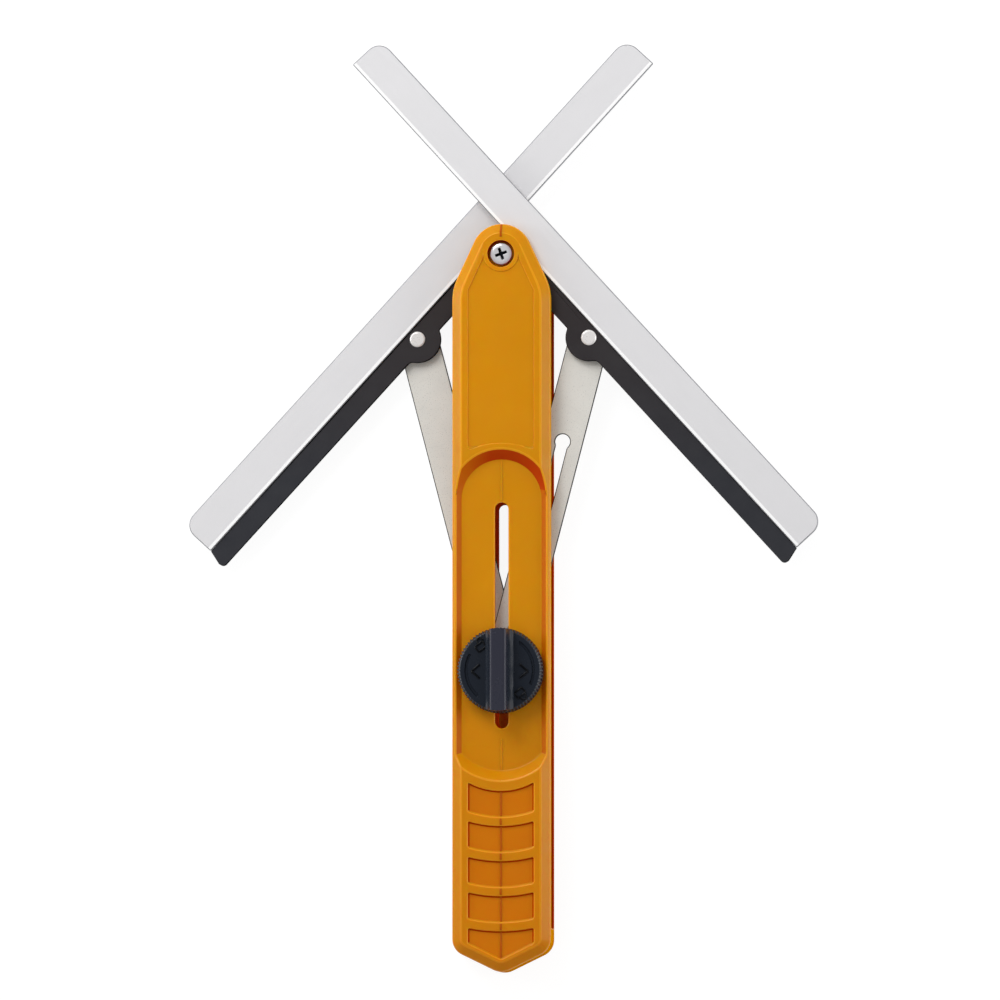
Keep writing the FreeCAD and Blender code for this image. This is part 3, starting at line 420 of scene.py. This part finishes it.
# Places on the handle, in metres. The pivot's axis is at 0, and the tail's end is the handle's lowest y.
GRIP_START = 0.0714      # from the tail's end to the start of the grip
FIRST_POCKET = 0.0674    # from the tail's end to the upper wall of the grip's first pocket
POCKETS, POCKET_PITCH = 5, 0.0131
POCKET_FLOOR = (0.0003, 0.0094)    # the seam on a pocket's floor, from the pocket's upper wall
POCKET_RIB = (0.0102, 0.0126)      # the seam on the rib below it, likewise
POCKET_DEPTH, RECESS_DEPTH = 0.001, 0.0034
LAST_FLOOR = 0.0052      # from the tail's end to the end of the seam in the last pocket
SCREW_HOLE = 0.0062      # the walls nearer to the axis than this are round the screw's head
SLOT_HALF, SLOT_LOW, SLOT_HIGH = 0.0045, -0.19, -0.08      # the room of the slot's walls
SHADED_WALL = -0.1       # the recess's arch lies above this
TAIL_POINT = 0.012       # the length of the tail's pointed end
BACK_TOP, FRONT_INSIDE = 0.0025, 0.0015    # the inside is above the first, and less than the second above
#                                            the front shell's lowest point
PANEL_HALF, PANEL_LOW, PANEL_DEPTH = 0.0126, -0.0725, 0.00045    # room of the shallow panel's edges
SEAM_RUNS = (            # from y, to y, and the depth of each of these ends below the front face
    (0.0111, 0.0079, 0.0025, 0.0),                     # up the slope of the nose
    (0.0079, 0.0064, 0.0, 0.0),                        # on to the screw's hole
    (-0.0775, -0.0925, RECESS_DEPTH, RECESS_DEPTH),    # from the recess's arch to the slot
    (-0.1816, -0.1932, RECESS_DEPTH, RECESS_DEPTH))    # from the slot to the recess's lower wall

ARM_ANGLE = math.radians(42.5)

# The knob, in metres and degrees from its own axis
KNOB_TEETH, STEPS_PER_TOOTH = 72, 4
NOTCH = (0.1, 0.65)                     # the part of each tooth's turn that is cut away
LEFT_GROOVE, RIGHT_GROOVE = (152, 229), (334, 55)
RIM_BOTTOM, RIM_START = 0.0014, 0.0024  # the slope under the disc, and the height where the teeth start
FACE_DROP = 0.0009                      # from the face down to the rim
BORE, BORE_HEIGHT, FACE_CENTRE = 0.002, 0.0045, 0.004
ARROW_TIP, ARROW_DEPTH, ARROW_HALF, ARROW_STROKE = (0.0106, -0.0004), 0.003, 0.0026, 0.0008
LOCKS = ((129, True), (-48, False))     # where each lock stands, and whether its shackle is open

# The stage, in metres
LAMPS = (                               # name, place, side, and the setting that gives its power
    ("key_light", (-0.6, 0.9, 1.0), 0.8, "key"),
    ("left_light", (-0.9, 0.1, 0.27), 0.32, "left"),
    ("right_light", (0.9, -0.1, 0.3), 0.35, "right"))
LAMP_AIM = (0.0, -0.06, 0.0)
CAMERA_AIM = (-0.00216, -0.09133, 0)
CAMERA_WAY, CAMERA_RIGHT = (0.1, -0.0525, 1.0), (1.0, 0.0, -0.1)
FILM = 36.0                             # width of the camera's sensor in millimetres
FLOOR_PALE, FLOOR_FAINT, FLOOR_GLOW = 0.82, 0.14, 0.91


# One operator for each piece or group of like pieces

class DressHandle(bpy.types.Operator):
    """Round the two handle shells, run the fine seam along them and give them their moulded plastic"""
    bl_idname = "angle_finder.handle"
    bl_label = "Handle shells"

    def execute(self, context):
        made = context.scene.angle_finder_handle
        low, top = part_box("front_shell")
        grip = low.y + GRIP_START
        # Painted shade: the plain, side and edge finishes darken towards the tail.
        fade = (Y, grip + 0.06, grip - 0.07, 0.45, made.tail_shade_colour)
        # Beside the plain and side finishes, these paint shade on walls, hollows, pocket floors, the inside,
        # the seam and the recess sides, and a highlight on the rounded outer edges.
        finishes = [
            moulded_plastic(name, tone, gloss, roughness, made.grain, fade=change, glow=0.45)
            for name, tone, gloss, roughness, change in (
                ("moulded_orange", made.colour, 0.14, 0.36, fade),
                ("orange_shaded_wall", made.wall_shade_colour, 0.06, 0.45,
                 (X, -0.004, -0.0135, 0.9, made.side_shade_colour)),
                ("orange_hollows", made.hollow_shade_colour, 0.0, 0.5, None),
                ("orange_sides", made.colour, 0.0, 0.5, fade),
                ("orange_rubbed_edges", made.lip_highlight_colour, 0.25, 0.34, fade),
                ("orange_pocket_floors", made.pocket_shade_colour, 0.1, 0.42, None),
                ("orange_inner_walls", made.inside_shade_colour, 0.0, 0.5, None),
                ("orange_seam", made.seam_shade_colour, 0.1, 0.45, None),
                ("orange_recess_sides", made.side_shade_colour, 0.06, 0.45, None))]
        plain, walls, hollows, sides, lips, floors, inner, seam, flanks = range(len(finishes))

        def shell_face(face, outer):
            """Which finish a face of a shell takes, by its slope and by where it looks: painted shade on
            walls, hollows, pocket floors and the inside, a painted highlight on rounded outer edges.
            """
            slope, place = face.normal, face.calc_center_median()
            flat, upright = abs(slope.z) > 0.93, abs(slope.z) < 0.3
            at_screw = place.xy.length < SCREW_HOLE
            in_slot = abs(place.x) < SLOT_HALF and SLOT_LOW < place.y < SLOT_HIGH
            above_tail = place.y > low.y + TAIL_POINT
            inward = slope.x * place.x < -0.2 * abs(place.x) or (slope.y < -0.3 and above_tail)
            # Upright walls in the slot and round the screw take painted shade.
            if upright and (at_screw or in_slot and slope.y < 0.3):
                return hollows
            # The inside between the shells takes painted shade.
            if BACK_TOP < place.z < low.z + FRONT_INSIDE and (inward or not upright):
                return inner
            # Rounded outer edges take the painted highlight.
            if outer:
                return lips
            # Sunk flat faces in the grip take the painted shade of the pocket floors.
            if flat:
                sunk = place.y < grip and place.z < top.z - 0.0006 and slope.z > 0
                return floors if sunk else plain
            # Inward walls take painted shade: the inside shade in the grip, the pocket floor shade near the
            # front face, and the wall or recess side shade elsewhere.
            if inward and slope.y < 0.25:
                if place.y < grip:
                    return inner
                if place.z > top.z - 0.0005:
                    return floors
                return walls if slope.y < -0.12 and place.y > SHADED_WALL else flanks
            return sides if upright else plain

        def panel_edge(edge):
            """Whether an edge bounds the shallow panel, whose edges are rounded less."""
            return all(v.co.z > top.z - PANEL_DEPTH and v.co.y > PANEL_LOW and abs(v.co.x) < PANEL_HALF
                       for v in edge.verts)

        front = rounded_copy("front_shell", made.rounding, halves=True, sort=shell_face,
                             special=(panel_edge, made.panel_rounding, 2))
        finish_with(smooth(front), *finishes)
        dress(("back_shell",), made.rounding * 0.6, *finishes, halves=True, sort=shell_face)
        dress(("clamp_slider",), made.rounding * 0.6, finishes[plain])
        self.seam(made, low, top, finishes[plain], finishes[seam])
        return {"FINISHED"}

    def seam(self, made, low, top, *finishes):
        """The fine seam: on the nose, on the recess floor beyond the slot's ends, and down the grip."""
        form = bmesh.new()
        runs = list(SEAM_RUNS)
        start = low.y + FIRST_POCKET
        for index in range(POCKETS):
            pocket = start - index * POCKET_PITCH
            last = index == POCKETS - 1
            floor_end = low.y + LAST_FLOOR if last else pocket - POCKET_FLOOR[1]
            runs.append((pocket - POCKET_FLOOR[0], floor_end, POCKET_DEPTH, POCKET_DEPTH))
            if not last:
                runs.append((pocket - POCKET_RIB[0], pocket - POCKET_RIB[1], 0.0, 0.0))
        for from_y, to_y, from_depth, to_depth in runs:
            add_rib(form, Vector((0, from_y, top.z - from_depth)), Vector((0, to_y, top.z - to_depth)),
                    made.seam_width, made.seam_height)
        # The runs in the pockets and on the nose take painted shade.
        for face in form.faces:
            along = face.calc_center_median().y
            face.material_index = int(along < start or along > 0)
        piece = finish_with(skin("handle_seam", form, body="handle"), *finishes)
        smooth(piece, 60.0)


class DressPivot(bpy.types.Operator):
    """Finish the pivot screw with its sleeve, nut and washer"""
    bl_idname = "angle_finder.pivot"
    bl_label = "Pivot screw and fittings"

    def execute(self, context):
        metal = context.scene.angle_finder_metal
        plated = worked_metal("bright_plated_steel", metal.screw_colour, roughness=0.2, mottle=0.02,
                              metal=0.4)
        # Painted shade for the screw's cross recess.
        dark = worked_metal("recess_steel", metal.recess_shade_colour, roughness=0.3, mottle=0.02, metal=0.5)
        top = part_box("pivot_screw")[1].z

        def flatten_head(form):
            """Give the pan head a nearly flat top that drops a little towards its rim."""
            flat, drop = 0.003, 0.00035
            for vert in form.verts:
                reach = vert.co.xy.length
                if vert.co.z > top - 0.001 and reach > flat + 0.0002:
                    vert.co.z = top - drop * ((reach - flat) / 0.001) ** 2

        screw = smooth(rounded_copy("pivot_screw", 0.00012, turn=30.0, shape=flatten_head))
        finish_with(screw, plated, dark)
        # Faces inside the cross recess take the painted shade.
        for face in screw.data.polygons:
            near_axis = face.center.xy.length < 0.00245
            inside = near_axis and top - 0.0016 < face.center.z < top - 0.00008
            face.material_index = int(inside)
        dress(("pivot_nut",), 0.00015, plated, turn=30.0)
        dress(("end_screws", "blade_stop_pin_left", "blade_stop_pin_right", "clamp_stud", "clamp_washer"),
              0.0001, plated, turn=40.0)
        brass = worked_metal("turned_brass", metal.brass_colour, roughness=0.3, stretch=(1, 1, 6),
                             mottle=0.02)
        dress(("pivot_sleeve",), 0.0001, brass, turn=40.0)
        white = moulded_plastic("washer_plastic", metal.washer_colour, gloss=0.4, roughness=0.4, grain=0.0002)
        dress(("pivot_washer", "clamp_spacer_rear", "clamp_spacer_front"), 0.0001, white, turn=40.0)
        return {"FINISHED"}


class DressCarriers(bpy.types.Operator):
    """Round the two black carriers and give them their moulded plastic"""
    bl_idname = "angle_finder.carriers"
    bl_label = "Arm carriers"

    def execute(self, context):
        arms = context.scene.angle_finder_arms
        black = moulded_plastic("moulded_black", arms.colour, gloss=0.4, roughness=0.45, grain=0.00018,
                                strength=0.3, fade=(Y, -0.02, -0.085, 1.0, arms.far_colour))
        # Painted shade on the carriers' steep side faces.
        edge = moulded_plastic("black_edges", arms.edge_shade_colour, gloss=0.0, roughness=0.4, grain=0.00018)
        dress(("carrier_left", "carrier_right"), arms.rounding, black, edge, sort=steep_faces)
        return {"FINISHED"}


class DressBlades(bpy.types.Operator):
    """Break the blades' edges and give them their satin metal"""
    bl_idname = "angle_finder.blades"
    bl_label = "Blades"

    def execute(self, context):
        metal = context.scene.angle_finder_metal
        # Painted shade on the blades' cut edges.
        cut = worked_metal("cut_edge_aluminium", metal.edge_shade_colour, roughness=0.5, mottle=0.02, metal=0.3)
        # Painted highlight strip along the blade's inner edge.
        bright = worked_metal("bright_strip", metal.strip_highlight_colour, roughness=0.3, mottle=0.0, metal=0.1)
        for side, sign in (("left", 1), ("right", -1)):
            turn = sign * ARM_ANGLE
            satin = worked_metal("satin_aluminium_" + side, metal.blade_colour, roughness=0.36,
                                 stretch=(1.0, 0.03, 1.0), turn=turn, mottle=0.004, scratch=0.05, metal=0.25)
            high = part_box("blade_" + side)[1]
            across = Vector((sign * math.cos(turn), -abs(math.sin(turn)), 0.0))
            mesh = frame["nodes"]["blade_" + side].data
            inner = max(vert.co.dot(across) for vert in mesh.vertices if vert.co.z > high.z - 1e-5)

            def mark_strip(form, line=across * (inner - metal.strip), way=across):
                """Divide the faces where the painted highlight strip begins."""
                divide(form, line, way)

            def blade_face(face, outer, start=inner - metal.strip, way=across):
                """The finish of the cut edges with painted shade, of the painted highlight strip, or of the
                satin rest.
                """
                if abs(face.normal.z) < 0.9:
                    return 1
                return 2 if face.normal.z > 0 and face.calc_center_median().dot(way) > start else 0

            piece = rounded_copy("blade_" + side, metal.rounding, steps=1, shape=mark_strip, sort=blade_face)
            finish_with(smooth(piece, 20.0), satin, cut, bright)
        return {"FINISHED"}


class DressLinks(bpy.types.Operator):
    """Break the links' edges and give links and rivets their metals"""
    bl_idname = "angle_finder.links"
    bl_label = "Links and rivets"

    def execute(self, context):
        metal = context.scene.angle_finder_metal
        rolled = worked_metal("rolled_plated_steel", metal.link_colour, roughness=0.3, mottle=0.02,
                              scratch=0.02, metal=0.3)
        # Painted shade on the links' sheared edges.
        cut = worked_metal("sheared_edge_steel", metal.sheared_shade_colour, roughness=0.5, mottle=0.02, metal=0.3)
        dress(("link_left", "link_right"), metal.rounding, rolled, cut, steps=1, sort=steep_faces)
        headed = worked_metal("rivet_steel", metal.rivet_colour, roughness=0.3, mottle=0.01, metal=0.3)
        dress(("rivet_left", "rivet_right"), 0.0002, headed, turn=30.0)
        return {"FINISHED"}


class DressKnob(bpy.types.Operator):
    """Make the clamp knob with its toothed rim, waisted grip bar, curved grooves, arrows and locks"""
    bl_idname = "angle_finder.knob"
    bl_label = "Clamp knob"

    def execute(self, context):
        made = context.scene.angle_finder_knob
        low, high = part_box("knob")
        centre = Vector(((low.x + high.x) / 2, (low.y + high.y) / 2, low.z))
        radius = (high.x - low.x) / 2
        # The knob's plastic nears a painted light on top of its grip bar.
        plastic = moulded_plastic("knob_plastic", made.colour, gloss=0.34, roughness=0.25, grain=0.00015,
                                  strength=0.15,
                                  fade=(Z, high.z - 0.004, high.z - 0.0005, 1.0, made.bar_top_light_colour))
        # Painted shade for the raised arrows and locks.
        dark = moulded_plastic("knob_marks", made.mark_shade_colour, gloss=0.4, roughness=0.3, grain=0.00015,
                               strength=0.15)
        form = bmesh.new()
        self.disc(form, made, radius)
        self.bar(form, made, radius, high.z - low.z)
        body = set(form.faces)
        self.marks(form, made)
        # The marks' faces take the painted shade.
        for face in form.faces:
            face.material_index = int(face not in body)
        bmesh.ops.translate(form, verts=form.verts, vec=centre)
        piece = finish_with(skin("knob_dressed", form, "knob"), plastic, dark)
        smooth(piece, 40.0)
        return {"FINISHED"}

    def disc(self, form, made, radius):
        """The disc, turned from its section, with a toothed rim and two curved grooves."""
        face = made.disc_height
        ring, half = made.groove_radius, 0.00065
        section = [(BORE, BORE_HEIGHT), (BORE, 0.0), (radius - RIM_BOTTOM, 0.0), (radius, RIM_BOTTOM),
                   (radius, RIM_START), (radius, face - FACE_DROP - 0.0003),
                   (radius - 0.0002, face - FACE_DROP), (radius - made.disc_chamfer, face - 0.0001),
                   (radius - made.disc_chamfer - 0.0003, face), (ring + half, face),
                   (ring + half / 2, face), (ring - half / 2, face), (ring - half, face),
                   (FACE_CENTRE, face)]
        points = [form.verts.new((r, 0.0, z)) for r, z in section]
        edges = [form.edges.new(pair) for pair in zip(points, points[1:])]
        bmesh.ops.spin(form, geom=points + edges, cent=(0, 0, 0), axis=(0, 0, 1), angle=2 * math.pi,
                       steps=KNOB_TEETH * STEPS_PER_TOOTH, use_merge=True)
        bmesh.ops.remove_doubles(form, verts=form.verts, dist=1e-7)
        for ends in (BORE_HEIGHT, face):
            rim = [edge for edge in form.edges if len(edge.link_faces) == 1
                   and all(abs(v.co.z - ends) < 1e-6 for v in edge.verts)]
            bmesh.ops.holes_fill(form, edges=rim, sides=0)
        bmesh.ops.recalc_face_normals(form, faces=form.faces)

        def angle(vert):
            return math.degrees(math.atan2(vert.co.y, vert.co.x)) % 360

        def on_arc(vert):
            turn = angle(vert)
            return LEFT_GROOVE[0] < turn < LEFT_GROOVE[1] or turn < RIGHT_GROOVE[1] or turn > RIGHT_GROOVE[0]

        pitch = 360 / KNOB_TEETH
        notch = [v for v in form.verts if v.co.xy.length > radius - 0.00025 and v.co.z > 0.002
                 and pitch * NOTCH[0] < angle(v) % pitch < pitch * NOTCH[1]]
        keep = (radius - made.tooth_depth) / radius
        bmesh.ops.scale(form, verts=notch, vec=(keep, keep, 1))
        groove = [v for v in form.verts
                  if v.co.z > face - 1e-6 and abs(v.co.xy.length - ring) < half * 0.6 and on_arc(v)]
        bmesh.ops.translate(form, verts=groove, vec=(0, 0, -made.groove_depth))

    def bar(self, form, made, radius, height):
        """The grip bar: a waisted section run right across, its ends curved with the rim."""
        face = made.disc_height
        low_half, top_half = made.bar_width / 2, made.bar_top_width / 2
        rise = height - face
        waist = top_half + (low_half - top_half) * 0.3
        foot, narrow = face + 0.0009, face + rise * 0.42
        flank = [(low_half, face - 0.0009), (low_half, foot), (waist, narrow), (top_half, height)]
        section = flank + [(-x, z) for x, z in reversed(flank)]
        reach = radius - 0.0006
        bar = bmesh.new()
        cap = bar.faces.new([bar.verts.new((x, -reach, z)) for x, z in section])
        run = bmesh.ops.extrude_face_region(bar, geom=[cap])
        far = [item for item in run["geom"] if isinstance(item, bmesh.types.BMVert)]
        bmesh.ops.translate(bar, verts=far, vec=(0, 2 * reach, 0))
        bmesh.ops.recalc_face_normals(bar, faces=bar.faces)
        lengthwise = [edge for edge in bar.edges
                      if abs(edge.verts[0].co.y - edge.verts[1].co.y) > reach]
        for level, width, steps in ((foot, 0.0005, 3), (narrow, 0.0014, 5), (height, made.rounding, 4)):
            chosen = [edge for edge in lengthwise
                      if edge.is_valid and abs(edge.verts[0].co.z - level) < 1e-6]
            round_edges(bar, chosen, width, steps, corners="SHARP")
        strips = 12
        for index in range(1, strips):
            divide(bar, (low_half * (2 * index / strips - 1), 0, 0), (1, 0, 0))
        for vert in bar.verts:
            vert.co.y = math.copysign(math.sqrt(reach ** 2 - vert.co.x ** 2), vert.co.y)
        mesh = bpy.data.meshes.new("grip_bar")
        bar.to_mesh(mesh)
        bar.free()
        form.from_mesh(mesh)

    def marks(self, form, made):
        """Raised arrows and open and closed locks, generic signs for loose and tight."""
        for side in (-1, 1):
            tip = Vector((side * ARROW_TIP[0], ARROW_TIP[1], made.disc_height))
            for lift in (-1, 1):
                end = tip + Vector((side * -ARROW_DEPTH, lift * ARROW_HALF, 0))
                add_rib(form, tip, end, ARROW_STROKE, made.mark_height)
        for turn, shackle_is_open in LOCKS:
            self.lock(form, made, math.radians(turn), shackle_is_open)

    def lock(self, form, made, turn, open_shackle):
        """A padlock sign: a framed body and a shackle, which stands aside when it is open."""
        middle = Vector((math.cos(turn), math.sin(turn), 0)) * made.groove_radius
        middle.z = made.disc_height
        out = Matrix.Rotation(turn - math.pi / 2, 3, "Z")
        width, height, stroke = 0.0036, 0.0024, 0.0006

        def at(x, y):
            return middle + out @ Vector((x, y, 0))

        corners = [at(-width / 2, 0), at(width / 2, 0), at(width / 2, -height), at(-width / 2, -height)]
        for index, corner in enumerate(corners):
            add_rib(form, corner, corners[(index + 1) % 4], stroke, made.mark_height)
        shift = width * 0.3 if open_shackle else 0.0
        arch = [at(shift + math.cos(step * math.pi / 8) * width * 0.33,
                   0.0003 + math.sin(step * math.pi / 8) * width * 0.42) for step in range(9)]
        for first, second in zip(arch, arch[1:]):
            add_rib(form, first, second, stroke, made.mark_height)


class SetStage(bpy.types.Operator):
    """Make the floor, the soft lights and the camera"""
    bl_idname = "angle_finder.stage"
    bl_label = "Stage"

    def execute(self, context):
        stage = context.scene.angle_finder_stage
        self.floor()
        self.sky(context, stage)
        for name, place, side, power in LAMPS:
            self.light(name, place, side, getattr(stage, power))
        self.camera(context, stage)
        context.scene.view_settings.view_transform = "Standard"
        return {"FINISHED"}

    def floor(self):
        """A floor that is white to the camera and in reflections, but for the object's faint shadow, and
        pale grey as it lights the object from below."""
        form = bmesh.new()
        bmesh.ops.create_grid(form, x_segments=2, y_segments=2, size=3.0)
        bmesh.ops.translate(form, verts=form.verts, vec=(0, -0.1, -0.0001))
        mesh = bpy.data.meshes.new("floor")
        form.to_mesh(mesh)
        form.free()
        material, tree, shader = new_finish("pale_floor")
        tree.nodes.remove(shader)
        out = tree.nodes["Material Output"]
        path = add(tree, "ShaderNodeLightPath")
        seen = add(tree, "ShaderNodeMath", operation="MAXIMUM")
        tree.links.new(path.outputs["Is Camera Ray"], seen.inputs[0])
        tree.links.new(path.outputs["Is Glossy Ray"], seen.inputs[1])
        pale = add(tree, "ShaderNodeBsdfDiffuse")
        pale.inputs["Color"].default_value = (FLOOR_PALE, FLOOR_PALE, FLOOR_PALE, 1)
        faint = add(tree, "ShaderNodeBsdfDiffuse")
        faint.inputs["Color"].default_value = (FLOOR_FAINT, FLOOR_FAINT, FLOOR_FAINT, 1)
        glow = add(tree, "ShaderNodeEmission")
        glow.inputs["Color"].default_value = (1, 1, 1, 1)
        glow.inputs["Strength"].default_value = FLOOR_GLOW
        both = add(tree, "ShaderNodeAddShader")
        tree.links.new(faint.outputs[0], both.inputs[0])
        tree.links.new(glow.outputs[0], both.inputs[1])
        choose = add(tree, "ShaderNodeMixShader")
        tree.links.new(seen.outputs[0], choose.inputs[0])
        tree.links.new(pale.outputs[0], choose.inputs[1])
        tree.links.new(both.outputs[0], choose.inputs[2])
        tree.links.new(choose.outputs[0], out.inputs["Surface"])
        mesh.materials.append(material)
        floor = bpy.data.objects.new("floor", mesh)
        bpy.context.scene.collection.objects.link(floor)

    def sky(self, context, stage):
        """A sky that is white to the camera, brighter beyond the nose as it lights the object, and in
        reflections bright low down and dark overhead."""
        world = bpy.data.worlds.new("soft_sky")
        context.scene.world = world
        world.use_nodes = True
        tree = world.node_tree
        back = tree.nodes["Background"]
        back.inputs["Color"].default_value = (1, 1, 1, 1)
        path = add(tree, "ShaderNodeLightPath")
        split = add(tree, "ShaderNodeSeparateXYZ")
        tree.links.new(add(tree, "ShaderNodeTexCoord").outputs["Generated"], split.inputs[0])
        lit = between(tree, split.outputs[1], -0.5, 0.9, stage.sky_low, stage.sky_high)
        mirrored = between(tree, split.outputs[2], 0.15, 0.75, 0.75, 0.05)
        strength = self.choose(tree, path.outputs["Is Glossy Ray"], lit, mirrored)
        for kind in ("Is Camera Ray", "Is Transmission Ray"):
            strength = self.choose(tree, path.outputs[kind], strength, 1.0)
        tree.links.new(strength, back.inputs["Strength"])

    def choose(self, tree, test, otherwise, then):
        """One number where the test is 1, and the other elsewhere."""
        node = add(tree, "ShaderNodeMix", data_type="FLOAT")
        tree.links.new(test, node.inputs[0])
        tree.links.new(otherwise, node.inputs[2])
        if isinstance(then, bpy.types.NodeSocket):
            tree.links.new(then, node.inputs[3])
        else:
            node.inputs[3].default_value = then
        return node.outputs[0]

    def light(self, name, place, size, power):
        """A square soft light that points at the middle of the handle's front half."""
        lamp = bpy.data.lights.new(name, "AREA")
        lamp.energy = power
        lamp.size = size
        thing = bpy.data.objects.new(name, lamp)
        thing.location = place
        aim = Vector(place) - Vector(LAMP_AIM)
        thing.rotation_euler = aim.to_track_quat("Z", "Y").to_euler()
        bpy.context.scene.collection.objects.link(thing)

    def camera(self, context, stage):
        """The far camera that looks down on the handle's front as the photographer's did."""
        data = bpy.data.cameras.new("photo_camera")
        data.sensor_width = FILM
        data.lens = FILM * stage.distance / stage.width
        data.clip_start = 0.5
        data.clip_end = 30.0
        back = Vector(CAMERA_WAY).normalized()
        right = Vector(CAMERA_RIGHT).normalized()
        up = back.cross(right).normalized()
        thing = bpy.data.objects.new("photo_camera", data)
        turn = Matrix((right, up, back)).transposed().to_4x4()
        thing.matrix_world = Matrix.Translation(Vector(CAMERA_AIM) + back * stage.distance) @ turn
        context.scene.collection.objects.link(thing)
        context.scene.camera = thing


class AngleFinderPanel(bpy.types.Panel):
    """Lists the steps that dress the angle finder"""
    bl_idname = "VIEW3D_PT_angle_finder"
    bl_label = "Angle finder"
    bl_space_type = "VIEW_3D"
    bl_region_type = "UI"
    bl_category = "Angle finder"

    def draw(self, context):
        for step in STEPS:
            self.layout.operator(step.bl_idname)
        for name in SETTINGS:
            box = self.layout.box()
            group = getattr(context.scene, name)
            for item in group.bl_rna.properties:
                if item.identifier not in {"rna_type", "name"}:
                    box.prop(group, item.identifier)


STEPS = (DressHandle, DressPivot, DressCarriers, DressBlades, DressLinks, DressKnob, SetStage)
SETTINGS = {
    "angle_finder_handle": HandleSettings,
    "angle_finder_arms": ArmSettings,
    "angle_finder_metal": MetalSettings,
    "angle_finder_knob": KnobSettings,
    "angle_finder_stage": StageSettings,
}


def register():
    for group in SETTINGS.values():
        bpy.utils.register_class(group)
    for step in STEPS:
        bpy.utils.register_class(step)
    bpy.utils.register_class(AngleFinderPanel)
    for name, group in SETTINGS.items():
        setattr(bpy.types.Scene, name, PointerProperty(type=group))


def unregister():
    for name in SETTINGS:
        delattr(bpy.types.Scene, name)
    bpy.utils.unregister_class(AngleFinderPanel)
    for step in reversed(STEPS):
        bpy.utils.unregister_class(step)
    for group in reversed(list(SETTINGS.values())):
        bpy.utils.unregister_class(group)


def main():
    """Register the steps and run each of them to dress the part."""
    register()
    for step in STEPS:
        group, name = step.bl_idname.split(".")
        getattr(getattr(bpy.ops, group), name)()


if __name__ == "__main__":
    main()
